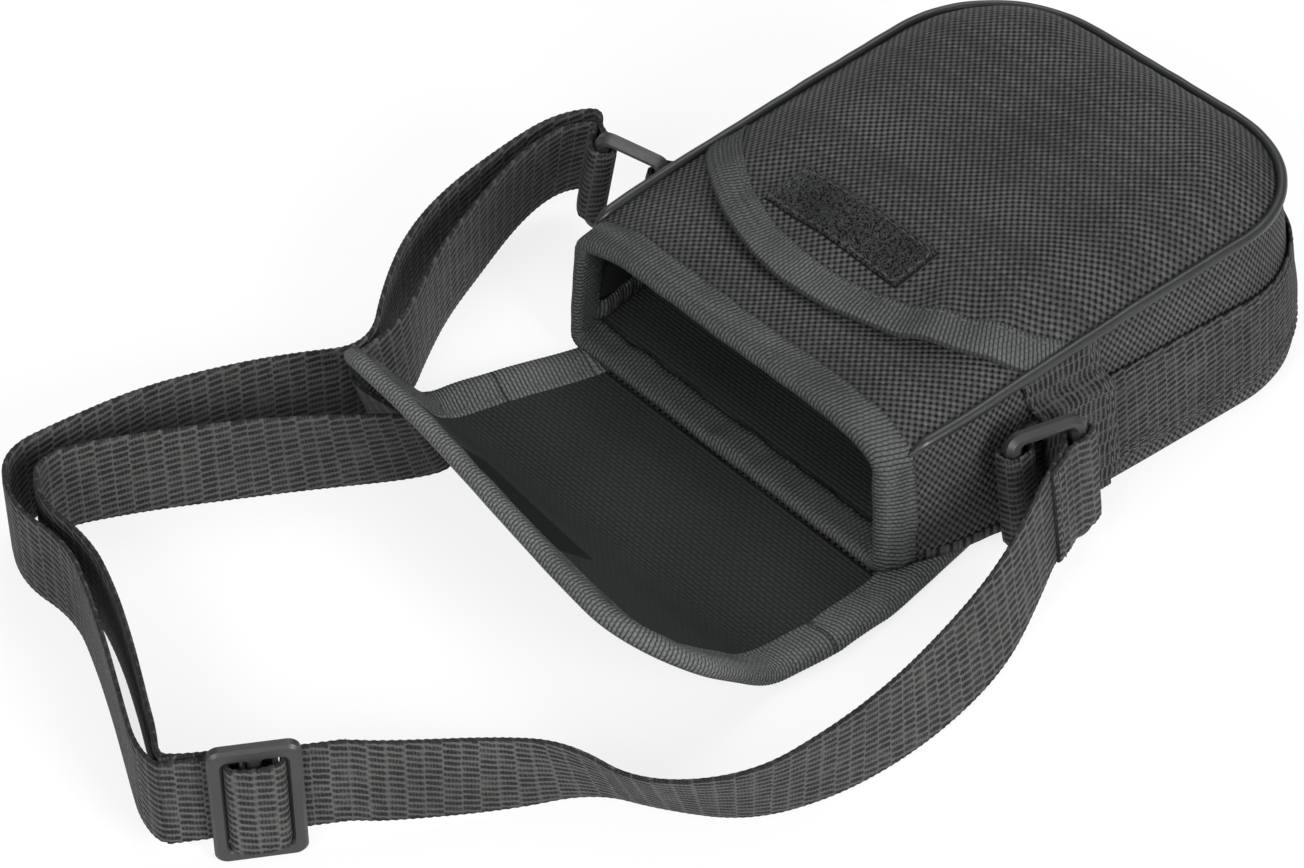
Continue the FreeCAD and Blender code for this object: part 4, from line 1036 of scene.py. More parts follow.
def pocketSpot(x, y, lift):
    return np.stack([x, y, pocketHeight(x, y, seamDistance(x, y)) + lift], axis=-1)


x, y = pocketGrid(111, 96)
spots = pocketSpot(x, y, 0.0)
pocket = gridPiece("frontPocket", spots, np.stack([x, y], axis=-1), heavyNylon, 0.95, -1)
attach(pocket, "case")
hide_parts("pocket_panel")

# Tape folded over the pocket's edge: distance in from the edge and height of each row
foldRows = [(8.0, -1.5), (4.5, -1.5), (1.0, -1.45), (0.0, -1.15), (-0.45, -0.45), (0.0, 0.35), (0.8, 0.66),
            (2.3, 0.8), (4.6, 0.75), (6.6, 0.62), (7.4, 0.5), (8.4, 0.66), (8.9, 0.3)]
ribPitch = 1.1
edgeHalf = float(pocketGrid(3, 3)[0][0, 2])
edgeX = np.linspace(-edgeHalf - 9.0, edgeHalf + 9.0, 900)
edgeLine = np.stack([edgeX, edgeBack(edgeX)], axis=1)
edgeRun = runOf(edgeLine)
edgeWay = unit(np.stack([np.gradient(edgeLine[:, 0]), np.gradient(edgeLine[:, 1])], axis=1))
edgeIn = np.stack([-edgeWay[:, 1], edgeWay[:, 0]], axis=1)


def alongEdge(inset, over):
    # the line this far in from the pocket's edge, and which of its places are on the front or this far over
    line = edgeLine + edgeIn * inset
    return line, np.abs(line[:, 0]) <= halfWidth(line[:, 1]) + over


rows, uvs = [], []
for inset, lift in foldRows:
    line, inside = alongEdge(inset, 0.4)
    where = np.linspace(edgeRun[inside][0], edgeRun[inside][-1], 680)
    px, py = placesAt(line, edgeRun, where).T
    rib = 0.1 * np.cos(where * math.tau / ribPitch) * (1.0 if lift > 0 else 0.5)
    wrinkle = 0.26 * ripple(where, inset * 2.0, 41, 13.0) * (0.4 if lift < 0 else 1.0)
    rows.append(pocketSpot(px, py, lift + rib + wrinkle))
    uvs.append(np.stack([where, np.full(len(where), inset + (0.0 if lift > 0 else 30.0))], axis=-1))
spots, uvs = np.array(rows), np.array(uvs)
pocketBinding = gridPiece("pocketBinding", spots, uvs, edgeTape, 0.35, -1)
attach(pocketBinding, "case")
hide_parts("pocket_binding")

# Loop patch with its pile
patch = {"middle": (-3.0, 43.6), "length": 47.0, "width": 14.6, "lift": 0.6}


def patchGrid(facts, columns, rows, reachX=1.0, reachY=1.0):
    # shares from -1 to 1 over a patch, and the places that they stand for
    px, py = np.meshgrid(np.linspace(-reachX, reachX, columns), np.linspace(-reachY, reachY, rows))
    return px, py, facts["middle"][0] + px * facts["length"] / 2, facts["middle"][1] + py * facts["width"] / 2


px, py, x, y = patchGrid(patch, 49, 19)
rim = np.maximum(np.abs(px) ** 14, np.abs(py) ** 8)
spots = pocketSpot(x, y, patch["lift"] * (1.0 - 0.75 * rim) + 0.1 * ripple(x, y, 51, 6.0))
loopPatch = gridPiece("loopPatch", spots, np.stack([x, y], axis=-1), loopPile, 1.1, -1)
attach(loopPatch, "case")
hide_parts("loop_patch")


def newGrower(name, sizes):
    # a geometry group that takes these sizes and a finish, for nodes that make copies and realize them
    tree = bpy.data.node_groups.new(name, "GeometryNodeTree")
    face = tree.interface
    for way in ("INPUT", "OUTPUT"):
        face.new_socket(name="Geometry", in_out=way, socket_type="NodeSocketGeometry")
    for label, value in sizes.items():
        kind = "NodeSocketInt" if isinstance(value, int) else "NodeSocketFloat"
        face.new_socket(name=label, in_out="INPUT", socket_type=kind).default_value = value
    face.new_socket(name="Finish", in_out="INPUT", socket_type="NodeSocketMaterial")
    return tree, tree.nodes.new("NodeGroupInput"), tree.nodes.new("NodeGroupOutput")


def setInputs(modifier, values):
    # the group's named inputs, set by socket identifier
    for item in modifier.node_group.interface.items_tree:
        if item.in_out == "INPUT" and item.name in values:
            modifier[item.identifier] = values[item.name]


def pileTree():
    # small arched fibres scattered over a patch
    tree, start, end = newGrower("loopFibres", {
        "Count Each Square Metre": 4.4e6, "Loop Radius": 0.00042, "Fibre": 0.00008, "Seed": 4})
    node, link = tree.nodes.new, tree.links.new
    scatter = node("GeometryNodeDistributePointsOnFaces")
    link(start.outputs["Geometry"], scatter.inputs["Mesh"])
    link(start.outputs["Count Each Square Metre"], scatter.inputs["Density"])
    link(start.outputs["Seed"], scatter.inputs["Seed"])
    arch = node("GeometryNodeCurveArc")
    arch.inputs["Resolution"].default_value = 7
    arch.inputs["Start Angle"].default_value = math.radians(-25.0)
    arch.inputs["Sweep Angle"].default_value = math.radians(230.0)
    link(start.outputs["Loop Radius"], arch.inputs["Radius"])
    ring = node("GeometryNodeCurvePrimitiveCircle")
    ring.inputs["Resolution"].default_value = 3
    link(start.outputs["Fibre"], ring.inputs["Radius"])
    sweep = node("GeometryNodeCurveToMesh")
    link(arch.outputs["Curve"], sweep.inputs["Curve"])
    link(ring.outputs["Curve"], sweep.inputs["Profile Curve"])
    stand = node("GeometryNodeTransform")
    stand.inputs["Rotation"].default_value = (math.pi / 2, 0.0, 0.0)
    link(sweep.outputs["Mesh"], stand.inputs["Geometry"])
    spin = node("FunctionNodeRandomValue")
    spin.data_type = "FLOAT_VECTOR"
    spin.inputs[0].default_value = (-0.7, -0.7, 0.0)
    spin.inputs[1].default_value = (0.7, 0.7, math.tau)
    size = node("FunctionNodeRandomValue")
    size.data_type = "FLOAT"
    size.inputs[2].default_value = 0.6
    size.inputs[3].default_value = 1.35
    place = node("GeometryNodeInstanceOnPoints")
    link(scatter.outputs["Points"], place.inputs["Points"])
    link(stand.outputs["Geometry"], place.inputs["Instance"])
    link(spin.outputs[0], place.inputs["Rotation"])
    link(size.outputs[1], place.inputs["Scale"])
    realize = node("GeometryNodeRealizeInstances")
    finish = node("GeometryNodeSetMaterial")
    link(place.outputs["Instances"], realize.inputs["Geometry"])
    link(realize.outputs["Geometry"], finish.inputs["Geometry"])
    link(start.outputs["Finish"], finish.inputs["Material"])
    link(finish.outputs["Geometry"], end.inputs["Geometry"])
    return tree


def growPile(name, points, material):
    bed = finishMesh(name, points.reshape(-1, 3), gridFaces(*points.shape[:2]), None, material)
    fibres = bed.modifiers.new("fibres", "NODES")
    fibres.node_group = pileTree()
    setInputs(fibres, {"Finish": material})
    return settle(bed)


px, py, x, y = patchGrid(patch, 30, 10, 0.98, 0.97)
pile = growPile("loopPile", pocketSpot(x, y, patch["lift"] - 0.05), fibrePile)
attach(pile, "case")

# Back panel and its lining
backRows = case["length"] * eased(0, 70)
footCorner = int(np.argmax(footLine[:middleSlot, 1] >= case["length"] - 1e-6))


def footHalf(y):
    return np.interp(y, footLine[:footCorner + 1, 1], footLine[:footCorner + 1, 0])


share, y = np.meshgrid(eased(-1, 61), backRows)
x = share * (footHalf(y) - 0.9)
rimLift = 0.5 * smooth((np.abs(share) - 0.985) / 0.015)
backUnder = np.stack([x, np.minimum(y, case["length"] - 0.8), ground(y) + rimLift], axis=-1)
backOver = backUnder + np.stack([0.0 * x, 0.0 * x, wallThickness(y)], axis=-1)
backPanel = shellPiece("backPanel", backOver, backUnder, np.stack([x, y], axis=-1), heavyNylon)
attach(backPanel, "case")
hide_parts("back_panel", "back_foam")
share, y = np.meshgrid(np.linspace(-1, 1, 61), backRows[:-6])
x = share * (footHalf(y) - 4.0)
soft = 0.35 * ripple(x, y, 61, 40.0) * smooth((20.0 - np.abs(y - 70.0)) / 60.0 + 0.8)
spots = np.stack([x, y, ground(y) + wallThickness(y) + 0.1 + np.maximum(soft, 0.0)], axis=-1)
backLining = gridPiece("backLining", spots, np.stack([y, x], axis=-1), darkLining, lining["thickness"], 1)
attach(backLining, "case")
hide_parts("back_lining")
print("case walls ready")


def tubeMesh(name, path, radii, material, sides):
    # a tube with an across and an up radius at each place of its path
    way = unit(np.gradient(path, axis=0))
    side = unit(np.cross(way, [0.0, 0.0, 1.0]))
    up = np.cross(side, way)
    gone = runOf(path)
    verts = np.zeros((len(path), sides, 3))
    uvs = np.zeros((len(path), sides, 2))
    for k, turn in enumerate(np.linspace(0, math.tau, sides, endpoint=False)):
        verts[:, k] = path + side * (math.cos(turn) * radii[:, :1]) + up * (math.sin(turn) * radii[:, 1:])
        uvs[:, k, 0] = gone
        uvs[:, k, 1] = turn * 1.5
    faces = gridFaces(len(path), sides, closed=True, flip=True)
    faces.append(tuple(range(sides)))
    faces.append(tuple((len(path) - 1) * sides + k for k in range(sides))[::-1])
    return finishMesh(name, verts.reshape(-1, 3), faces, uvs.reshape(-1, 2), material)


def seamPath(outset, rise, step, startY):
    # along the seam behind startY, pushed out of it in plan
    way = unit(np.gradient(seamLine[:, :2], axis=0))
    out = np.stack([way[:, 1], -way[:, 0]], axis=1)
    path = np.column_stack([seamLine[:, :2] + out * outset, seamLine[:, 2] + rise])
    _, (even,) = evenly([path[path[:, 1] > startY]], step)
    return even


pipe = {"radius": 1.4, "outset": 0.85, "rise": 0.35, "start": 6.4, "step": 1.1}
path = seamPath(pipe["outset"], pipe["rise"], pipe["step"], pipe["start"])
gone = np.arange(len(path)) * pipe["step"]
path[:, 2] += 0.12 * ripple(gone, 0.0, 71, 22.0)
emerge = smooth((path[:, 1] - 6.8) / 5.0)
path[:, 2] -= 1.1 * (1.0 - emerge)
swell = (1.0 + 0.035 * ripple(gone, 3.0, 72, 9.0)) * (0.35 + 0.65 * emerge)
piping = tubeMesh("piping", path, np.column_stack([pipe["radius"] * swell] * 2), cordCover, 16)
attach(piping, "case")
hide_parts("front_piping")

# Tapes over the seams inside, thin where they come out at the mouth
tapeStart = 2.5
tapeRun = np.linspace(float(runAt(tapeStart, 1)), wallLength - float(runAt(tapeStart, 1)), 1300)
tapeY = wallY(tapeRun)
emerge = smooth((tapeY - tapeStart) / 7.5)
tapeOff = -1.6 - 2.8 * emerge
tapeRibs = (1.0 + 0.2 * np.cos(tapeRun * math.tau / 1.5)) * (0.45 + 0.55 * emerge)
tapeRadii = np.stack([0.85 * tapeRibs, 3.0 + 0.0 * tapeRibs], axis=1)
footPath = wallSpot(tapeRun, ground(tapeY) + 6.6, tapeOff)
headPath = wallSpot(tapeRun, seamHeight(tapeY) - 6.2, tapeOff)
backSeamTape = tubeMesh("backSeamTape", footPath, tapeRadii, edgeTape, 10)
frontSeamTape = tubeMesh("frontSeamTape", headPath, tapeRadii, edgeTape, 10)
for piece, node in ((backSeamTape, "back_seam_tape"), (frontSeamTape, "front_seam_tape")):
    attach(piece, "case")
    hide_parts(node)


def closedEvenly(ring, count):
    # a closed line's places, this many and evenly apart, and the distance gone at each
    closed = np.vstack([ring, ring[:1]])
    gone = runOf(closed)
    where = np.linspace(0.0, gone[-1], count + 1)[:-1]
    return placesAt(closed, gone, where), where


def mouthRing(y, count):
    # the case's outline in a plane behind the mouth, from the low left corner round, its corners rounded
    low, high = float(ground(y)), float(seamHeight(y))
    wallCount, topCount, footCount, reach = 30, 90, 80, 0.965
    zs = low + (high - low) * np.linspace(0.06, 0.94, wallCount)
    half = wallSpot(np.full(wallCount, float(runAt(y, 1))), zs, 0.0)[:, 0]
    top = float(np.interp(y, seamLine[:middleSlot, 1], seamLine[:middleSlot, 0]))
    xs = np.linspace(-reach, reach, topCount) * top
    tops = frontHeight(xs, np.full(topCount, y), top - np.abs(xs))
    foot = float(wallSpot(np.array([float(runAt(y, 1))]), np.array([low]), 0.0)[0, 0])
    points = np.vstack([np.stack([-half, zs], 1), np.stack([xs, tops], 1), np.stack([half[::-1], zs[::-1]], 1),
                        np.stack([np.linspace(reach, -reach, footCount) * foot, np.full(footCount, low)], 1)])
    ring, _ = closedEvenly(points, 360)
    for _ in range(3):
        ring = 0.5 * ring + 0.25 * np.roll(ring, 1, axis=0) + 0.25 * np.roll(ring, -1, axis=0)
    ring, where = closedEvenly(ring, count)
    way = unit(np.roll(ring, -2, axis=0) - np.roll(ring, 2, axis=0))
    return ring, np.stack([-way[:, 1], way[:, 0]], axis=1), where


# Tape round the mouth: distance behind the mouth, height off the case and depth of the ribs of each row
mouthRows = [
    (8.5, 0.1, 0.0), (8.2, 0.6, 0.5), (7.3, 0.6, 0.6), (6.5, 0.68, 0.7), (4.6, 0.9, 0.8), (2.6, 0.95, 0.9),
    (1.0, 0.8, 1.0), (0.1, 0.35, 1.0), (-0.5, -0.4, 1.0), (-0.65, -1.1, 1.0), (-0.4, -1.9, 1.0),
    (0.3, -2.45, 1.0), (1.6, -2.65, 0.9), (3.6, -2.8, 0.8), (6.0, -3.0, 0.7), (7.6, -3.05, 0.5),
    (8.2, -2.6, 0.3)]
mouthCount = 1240


def mouthSpot(back, off, rib):
    ring, out, where = mouthRing(max(back, 0.0), mouthCount)
    joint = np.exp(-((ring[:, 0] - 2.0) / 6.0) ** 6) * (ring[:, 1] < 12.0)
    wrinkle = 0.34 * ripple(where, back * 2.2, 81, 9.5) * smooth((back + 1.0) / 6.0)
    wrinkle = wrinkle + 0.2 * ripple(where, back, 83, 26.0)
    lift = off + 0.11 * rib * np.cos(where * math.tau / ribPitch) + wrinkle * (0.8 if off > 0 else 0.9)
    lift = lift + 0.8 * joint * (-1.0 if off < -2.0 else 0.3)
    y = back + 0.4 * ripple(where, 1.0, 82, 15.0) * (1.0 if back > 8 else 0.5)
    return np.stack([ring[:, 0] + out[:, 0] * lift, y, ring[:, 1] + out[:, 1] * lift], axis=-1), where


def mapOf(alongRun, rows):
    # a folded tape's map: distance along it and, over its rows, distance round the fold
    foldRun = np.cumsum([0.0] + [math.hypot(b[0] - a[0], b[1] - a[1]) for a, b in zip(rows, rows[1:])])
    return np.stack(np.broadcast_arrays(alongRun[None, :], foldRun[:, None]), axis=-1).astype(float)


spots = np.array([mouthSpot(*row)[0] for row in mouthRows])
loopRun = mouthSpot(0.0, 0.0, 0.0)[1]
mouthBinding = gridPiece("mouthBinding", spots, mapOf(loopRun, mouthRows), edgeTape, 0.4, -1, closed=True)
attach(mouthBinding, "case")
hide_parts("mouth_binding")
print("piping and bindings ready")

# Webbing round the wall and the tabs over its ends: heights, and distances behind the mouth
band = {"low": 5.5, "high": 30.5, "rightStart": 54.0, "leftStart": 62.5, "step": 0.62}
tab = {"near": 44.0, "width": 24.0, "step": 3.15, "leftBack": 8.5}
bandRun = np.arange(float(runAt(band["rightStart"], 1)), float(runAt(band["leftStart"], -1)), band["step"])
bandRows = np.concatenate([[band["low"]], np.linspace(band["low"] + 0.35, band["high"] - 0.35, 12),
                           [band["high"]]])


def bandSpot(u, z, lift):
    edge = np.minimum(np.abs(z - band["low"]), np.abs(z - band["high"])) < 0.2
    middle = (band["low"] + band["high"]) / 2
    beat = np.where(edge, strap["knob"] * np.sin(u * math.tau / strap["knobPitch"]), 0.0) * np.sign(z - middle)
    soft = 0.18 * ripple(u, z * 2.0, 91, 26.0)
    return wallSpot(u, z + beat, wallSwell(u, z) + lift + soft * np.where(edge, 0.3, 1.0))


u, z = np.meshgrid(bandRun, bandRows)
rimDrop = np.where((z < band["low"] + 0.1) | (z > band["high"] - 0.1), 0.45, 0.0)
gussetBand = gridPiece("gussetWebbing", bandSpot(u, z, 1.45 - rimDrop), np.stack([u, z], axis=-1),
                       bandNylon, 1.2, -1)
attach(gussetBand, "case")
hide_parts("gusset_webbing")


def tabLift(z):
    # the strip's height over the wall: low at its foot, over the webbing and loop, low again under the piping
    up = smooth((z - 3.6) / 2.4) * (1.0 - smooth((z - 30.6) / 3.4))
    return 0.75 + (tab["step"] + 0.9) * up


def tabPlace(back, q, z):
    # how far behind the mouth the place q across the tab is, at this height: the tab leans and widens upwards
    flare = 2.2 * smooth((z - 30.0) / 14.0)
    return tab["near"] + back + q - flare * (1.0 - q / tab["width"]) + 0.015 * (18.0 - z)


def crossTab(name, side, back, node):
    top = float(seamHeight(tab["near"] + 12.0)) - 0.2
    zs = np.concatenate([np.linspace(0.5, 8.0, 12), np.linspace(8.6, 29.5, 26), np.linspace(30.0, 36.0, 13),
                         np.linspace(36.6, top, 9)])
    across = np.concatenate([[0.0], np.linspace(0.3, tab["width"] - 0.3, 22), [tab["width"]]])
    q, z = np.meshgrid(across, zs)
    u = runAt(tabPlace(back, q, z), side)
    rimDrop = np.where((q < 0.1) | (q > tab["width"] - 0.1), 0.4, 0.0)
    lift = tabLift(z) - rimDrop + 0.15 * ripple(q, z, 95, 13.0)
    lift = lift + 0.12 * np.cos(q * math.tau / tab["width"])
    spots = wallSpot(u, z, wallSwell(u, z) + lift)
    piece = gridPiece(name, spots, np.stack([z, q], axis=-1), bandNylon, 1.2, -1, flip=side < 0)
    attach(piece, "case")
    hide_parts(node)


crossTab("crossTabRight", 1, 0.0, "cross_tab_right")
crossTab("crossTabLeft", -1, tab["leftBack"], "cross_tab_left")


def ringLoop(name, hinge, wallAlong, wallOut, wallUp, node):
    # a doubled strip from under the tab, out round the hinge bar and back
    foot = hinge - wallOut * 7.95
    points = [(24.9, 1.05), (17.0, 1.05), (11.0, 1.05), (8.6, 1.2), (4.6, 4.7), (1.2, 4.85), (-3.15, 4.8),
              (-3.15, 11.1), (1.2, 11.05), (4.6, 10.4), (8.2, 4.2), (10.2, 2.6), (12.5, 2.5), (17.0, 2.5),
              (24.9, 2.5)]
    foldedStrip(name, foot, wallAlong, wallOut, wallUp, points, "case", node, material=bandNylon)


ringLoop("ringLoopRight", rightHinge, rightAlong, rightOut, rightUp, "ring_loop_right")
ringLoop("ringLoopLeft", leftHinge, leftAlong, leftOut, leftUp, "ring_loop_left")
print("webbing ready")

# Flap: distances from its hinge when laid flat, and the front's slope in degrees, near (right) and far (left)
flap = {
    "hingeY": -1.0, "rootEnd": -30.0, "creaseNear": 42.5, "creaseFar": 43.5, "length": 87.0, "angleNear": 39.0,
    "angleFar": 53.5, "bend": 17.0, "split": 21.5,
}
# Each side's distances from the hinge, half widths there and corner radius
flapSides = {
    1: (np.array([-30.0, -0.5, 6.0, 22.0, 43.0, 63.0]), np.array([60.0, 65.5, 66.6, 67.6, 65.8, 65.4]), 24.0),
    -1: (np.array([-30.0, 0.0, 20.0, 42.0, 63.0]), np.array([50.0, 53.5, 58.5, 64.0, 63.5]), 13.0),
}


def flapHalf(v, side):
    places, halves, corner = flapSides[side]
    into = np.clip(v - (flap["length"] - corner), 0.0, corner)
    return np.interp(v, places, halves) - corner + np.sqrt(np.maximum(corner ** 2 - into ** 2, 0.0))


def flapSpot(x, v, h):
    # a place of the flap: across, distance from the hinge and height through its layers
    x, v, h = np.broadcast_arrays(np.asarray(x, float), np.asarray(v, float), np.asarray(h, float))
    far = smooth((60.0 - x) / 120.0)
    crease = flap["creaseNear"] + (flap["creaseFar"] - flap["creaseNear"]) * far
    top = np.radians(flap["angleNear"] + (flap["angleFar"] - flap["angleNear"]) * far)
    steps = 40
    y = np.full(x.shape, flap["hingeY"])
    z = np.zeros(x.shape)
    ahead = np.maximum(v, 0.0)

    def slope(here):
        return top * smooth((here - crease + flap["bend"] / 2) / flap["bend"])

    for k in range(steps):
        here = ahead * (k + 0.5) / steps
        droop = np.radians(3.0) * smooth((here - 66.0) / 20.0) * smooth(x / 50.0)
        theta = slope(here) - droop
        y = y - np.cos(theta) * ahead / steps
        z = z + np.sin(theta) * ahead / steps
    theta = slope(ahead)
    y = y - np.minimum(v, 0.0)
    soft = 0.3 * (ripple(x, v, 101, 48.0) + 1.0) * smooth(v / 14.0)
    edgeRise = 0.7 * smooth((np.abs(x) - 44.0) / 22.0) * smooth(v / 20.0) * (1.0 - smooth((v - 34.0) / 10.0))
    z = z + soft + edgeRise
    return np.stack([x, y + np.sin(theta) * h, z + np.cos(theta) * h], axis=-1)


def cornerRows(start, corner, straightCount, cornerCount):
    # distances from the hinge, closer together round the tip's corner
    tail = flap["length"] - corner
    straight = np.linspace(start, tail, straightCount)[:-1]
    return np.concatenate([straight, tail + corner * eased(0, cornerCount)])


def flapLayer(name, start, end, low, high, inset, material, nodes, flip):
    # one layer between two heights; flip turns its outer face to the floor
    toTip = end >= flap["length"] - 0.01
    share, v = np.meshgrid(eased(-1, 71), np.linspace(start, end - (inset if toTip else 0.0), 64))
    x = share * np.maximum(np.where(share > 0, flapHalf(v, 1), flapHalf(v, -1)) - inset, 1.0)
    place = flapSpot(x, v, low if flip else high)
    uvs = np.stack([x, v] if flip else [v, x], axis=-1)
    piece = gridPiece(name, place, uvs, material, high - low, -1, flip=not flip)
    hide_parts(*nodes)
    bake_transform(piece)


flapLayer("flapBackOuter", flap["rootEnd"], flap["split"], 0.45, 1.9, 0.5, heavyNylon,
          ["flap_anchor", "flap_lid_outer", "flap_lid_core"], True)
flapLayer("flapBackLining", -0.4, flap["split"], 1.9, 2.45, 0.6, darkLining,
          ["flap_lid_lining"], False)
flapLayer("flapFrontOuter", flap["split"] - 1.2, flap["length"], 0.42, 1.87, 0.5, heavyNylon,
          ["flap_front_outer", "flap_front_core"], True)
flapLayer("flapFrontLining", flap["split"] - 1.2, flap["length"], 1.87, 2.42, 0.6, darkLining,
          ["flap_front_lining"], False)


def flapEdge():
    # the flap's edge from the right root corner round the tip to the left one, laid flat
    lines = []
    for side in (1, -1):
        v = cornerRows(flap["rootEnd"], flapSides[side][2], 150, 40)
        lines.append(np.stack([side * flapHalf(v, side), v], axis=1))
    across = np.linspace(lines[0][-1, 0], lines[1][-1, 0], 84)
    tip = np.stack([across, np.full(len(across), flap["length"])], axis=1)[1:-1]
    return np.vstack([lines[0], tip, lines[1][::-1]])


flapLine = flapEdge()
flapRun = runOf(flapLine)
edgeWhere = np.linspace(0.0, flapRun[-1], int(flapRun[-1] / 0.36))
edgeFlat = placesAt(flapLine, flapRun, edgeWhere)
edgeTurn = unit(np.gradient(edgeFlat, axis=0))
flapIn = np.stack([-edgeTurn[:, 1], edgeTurn[:, 0]], axis=1)
# Tape folded over the flap's edge: distance in from the edge and height of each row
flapFold = [(10.2, 2.4), (9.8, 2.85), (8.6, 2.85), (7.4, 3.2), (5.2, 3.9), (3.0, 4.5), (1.0, 4.5), (-0.4, 3.8),
            (-1.0, 2.3), (-0.7, 0.9), (0.5, 0.15), (3.0, 0.05), (5.6, 0.05), (7.0, 0.2), (7.4, 0.55)]


def keptRuns(keep):
    # kept places come as one or two runs along the edge
    slots = np.where(keep)[0]
    return np.split(slots, np.where(np.diff(slots) > 1)[0] + 1)


def flapBinding(name, keep, tuck, nodes):
    # tuck draws the tape in where it goes under the other one
    verts, faces, uvs = [], [], []
    for run in keptRuns(keep):
        rows = []
        under = tuck * smooth((flap["split"] + 1.6 - edgeFlat[run, 1]) / 2.0)
        for inset, h in flapFold:
            flat = edgeFlat[run] + flapIn[run] * (inset + under)[:, None]
            rib = 0.09 * np.cos(edgeWhere[run] * math.tau / ribPitch) * (1.0 if h > 0.3 else 0.3)
            wrinkle = 0.16 * ripple(edgeWhere[run], inset * 1.5, 111, 12.0) * (1.0 if h > 1.5 else 0.2)
            rows.append(flapSpot(flat[:, 0], flat[:, 1], h + rib + wrinkle - under * (h > 1.5)))
        base = sum(len(v) for v in verts)
        faces += [tuple(base + i for i in f) for f in gridFaces(len(flapFold), len(run))]
        verts.append(np.array(rows).reshape(-1, 3))
        uvs.append(mapOf(edgeWhere[run], flapFold).reshape(-1, 2))
    piece = finishMesh(name, np.vstack(verts), faces, np.vstack(uvs), paintedLitFlapTape)
    thicken(piece, 0.35, -1)
    settle(piece)
    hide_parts(*nodes)
    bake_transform(piece)


flapBinding("flapBackBinding", edgeFlat[:, 1] <= flap["split"] + 3.0, 0.0,
            ["flap_anchor_binding", "flap_lid_binding"])
flapBinding("flapFrontBinding", edgeFlat[:, 1] >= flap["split"] - 0.7, 0.22,
            ["flap_front_binding"])

# Hook patch on the lining near the tip
hook = {"middle": (-3.0, 68.5), "length": 43.5, "width": 13.6}
px, py, x, v = patchGrid(hook, 45, 15)
rim = np.maximum(np.abs(px) ** 16, np.abs(py) ** 10)
spots = flapSpot(x, v, 2.85 - 0.3 * rim)
hookPatch = gridPiece("hookPatch", spots, np.stack([x, v], axis=-1), hookBed, 0.6, -1, flip=True)
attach(hookPatch, "flap_front")
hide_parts("hook_patch")
print("flap ready")


def stitchTree():
    # capsules of thread along edges, one for each stitch
    sizes = {"Pitch": 0.003, "Stitch Length": 0.0023, "Thread": 0.00045}
    tree, start, end = newGrower("threadStitches", sizes)
    node, link = tree.nodes.new, tree.links.new
    toCurve = node("GeometryNodeMeshToCurve")
    resample = node("GeometryNodeResampleCurve")
    resample.mode = "LENGTH"
    tangent = node("GeometryNodeInputTangent")
    align = node("FunctionNodeAlignRotationToVector")
    align.axis = "X"
    instance = node("GeometryNodeInstanceOnPoints")
    bead = node("GeometryNodeMeshUVSphere")
    bead.inputs["Segments"].default_value = 6
    bead.inputs["Rings"].default_value = 5
    bead.inputs["Radius"].default_value = 0.5
    size = node("ShaderNodeCombineXYZ")
    realize = node("GeometryNodeRealizeInstances")
    finish = node("GeometryNodeSetMaterial")
    shade = node("GeometryNodeSetShadeSmooth")
    link(start.outputs["Geometry"], toCurve.inputs["Mesh"])
    link(toCurve.outputs["Curve"], resample.inputs["Curve"])
    link(start.outputs["Pitch"], resample.inputs["Length"])
    link(resample.outputs["Curve"], instance.inputs["Points"])
    link(bead.outputs["Mesh"], instance.inputs["Instance"])
    link(tangent.outputs[0], align.inputs["Vector"])
    link(align.outputs[0], instance.inputs["Rotation"])
    link(start.outputs["Stitch Length"], size.inputs[0])
    link(start.outputs["Thread"], size.inputs[1])
    link(start.outputs["Thread"], size.inputs[2])
    link(size.outputs[0], instance.inputs["Scale"])
    link(instance.outputs["Instances"], realize.inputs["Geometry"])
    link(realize.outputs["Geometry"], shade.inputs[0])
    link(shade.outputs[0], finish.inputs["Geometry"])
    link(start.outputs["Finish"], finish.inputs["Material"])
    link(finish.outputs["Geometry"], end.inputs["Geometry"])
    return tree


stitches = stitchTree()


def sewn(name, lines, pitch, length, width):
    # stitches along lines given in millimetres
    verts, edges = [], []
    for line in lines:
        base = len(verts)
        verts += [tuple(p) for p in toMetres(line)]
        edges += [(base + i, base + i + 1) for i in range(len(line) - 1)]
    mesh = bpy.data.meshes.new(name)
    mesh.from_pydata(verts, edges, [])
    piece = bpy.data.objects.new(name, mesh)
    scene.collection.objects.link(piece)
    thread = piece.modifiers.new("stitches", "NODES")
    thread.node_group = stitches
    setInputs(thread, {"Pitch": pitch / 1000.0, "Stitch Length": length / 1000.0, "Thread": width / 1000.0,
                       "Finish": sewingThread})
    return settle(piece)


def onWall(us, z, lift):
    us = np.asarray(us, float)
    zs = np.full(us.shape, z) if np.ndim(z) == 0 else z
    return wallSpot(us, zs, wallSwell(us, zs) + lift)


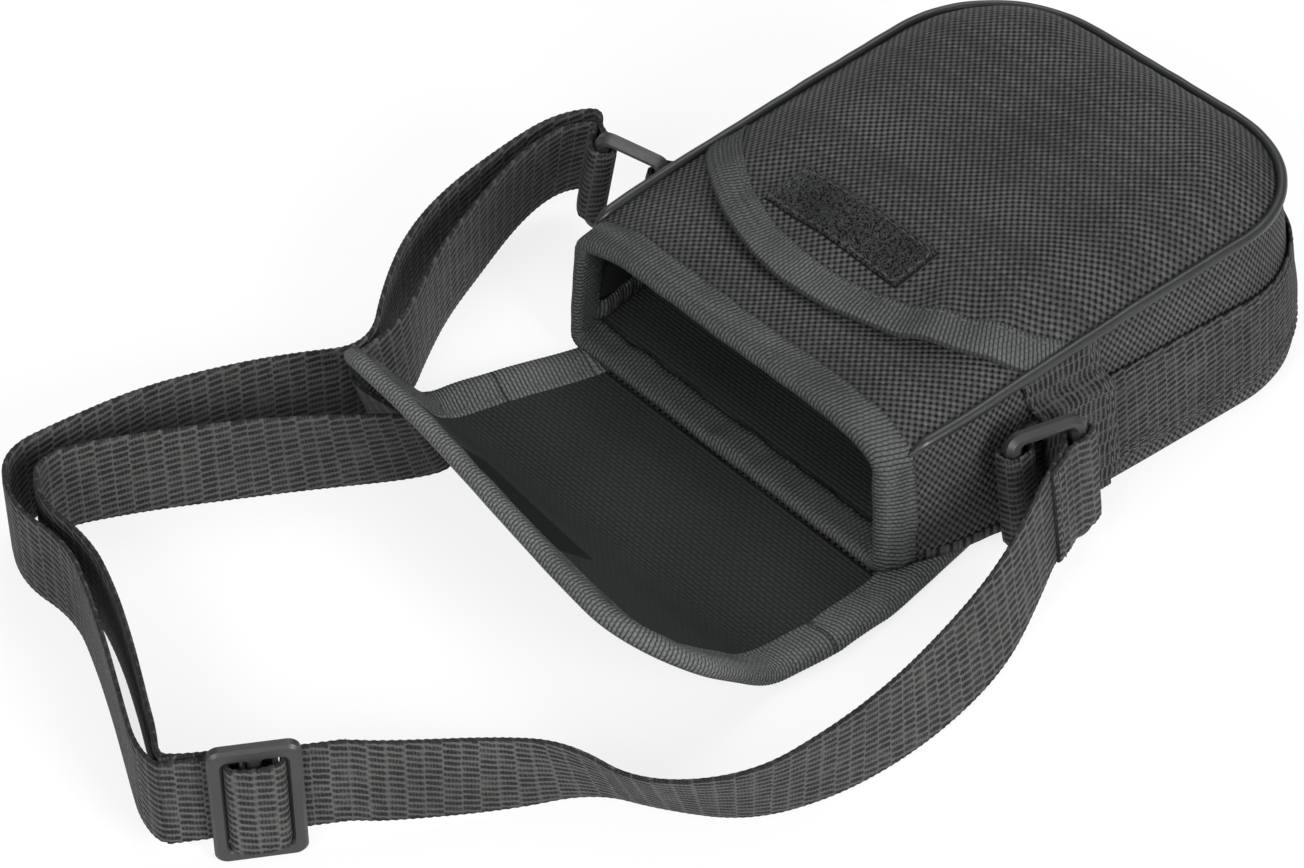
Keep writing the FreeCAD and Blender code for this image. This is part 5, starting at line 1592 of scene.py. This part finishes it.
bandWhere = np.arange(float(runAt(67.0, 1)), float(runAt(77.0, -1)), 1.5)
caseLines = [onWall(bandWhere, z, 1.55) for z in (7.1, 8.9, 28.7)]
for side, back in ((1, 0.0), (-1, tab["leftBack"])):
    zs = np.linspace(1.2, 41.0, 60)
    for q in (1.6, tab["width"] - 3.0, tab["width"] - 1.3):
        us = runAt(tabPlace(back, q, zs), side)
        caseLines.append(wallSpot(us, zs, wallSwell(us, zs) + tabLift(zs) + 0.1))
line, inside = alongEdge(7.4, -1.5)
caseLines.append(pocketSpot(line[inside, 0], line[inside, 1], 0.62))
for back in (6.9, 5.7):
    seam = mouthSpot(back, 0.8, 0.0)[0]
    caseLines.append(np.vstack([seam, seam[:1]]))
corners = [(-1, -1), (1, -1), (1, 1), (-1, 1), (-1, -1)]
border = []
for (ax, ay), (bx, by) in zip(corners, corners[1:]):
    for t in np.linspace(0, 1, 24)[:-1]:
        border.append((patch["middle"][0] + (ax + (bx - ax) * t) * (patch["length"] / 2 - 1.3),
                       patch["middle"][1] + (ay + (by - ay) * t) * (patch["width"] / 2 - 1.2)))
border = np.array(border + border[:1])
caseLines.append(pocketSpot(border[:, 0], border[:, 1], patch["lift"] + 0.12))
caseStitches = sewn("caseStitches", caseLines, 2.9, 2.3, 0.5)
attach(caseStitches, "case")
endLines = []
for gone in (14.5, 18.0):
    for side in (1.5, -1.5):
        middle = barRight + endWay * gone + endAcross * side
        endLines.append([tuple(middle + rightUp * float(level)) for level in np.linspace(-11.0, 11.0, 12)])
endStitches = sewn("strapEndStitches", endLines, 2.6, 2.0, 0.5)
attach(endStitches, "right_ring")


def flapStitchLine(keep, inset, h):
    lines = []
    for run in keptRuns(keep):
        flat = edgeFlat[run] + flapIn[run] * inset
        lines.append(flapSpot(flat[:, 0], flat[:, 1], h))
    return lines


onBack = edgeFlat[:, 1] <= flap["split"]
onFront = edgeFlat[:, 1] >= flap["split"]
flapThread = (3.0, 2.3, 0.45)
backLines = flapStitchLine(onBack & (edgeFlat[:, 1] > 1.0), 8.2, 2.95) + flapStitchLine(onBack, 6.1, 0.0)
backStitches = sewn("flapBackStitches", backLines, *flapThread)
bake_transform(backStitches)
frontLines = flapStitchLine(onFront, 8.2, 2.95) + flapStitchLine(onFront, 6.1, 0.0)
frontStitches = sewn("flapFrontStitches", frontLines, *flapThread)
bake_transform(frontStitches)
print("stitches ready")

# Nodes shown as the CAD model has them
moulded = ("ring_right", "ring_left", "slider")
for nodeName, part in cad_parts.items():
    if nodeName in moulded:
        part.data.materials.clear()
        part.data.materials.append(mouldedPlastic)
    elif not part.hide_render:
        print("still showing:", nodeName)
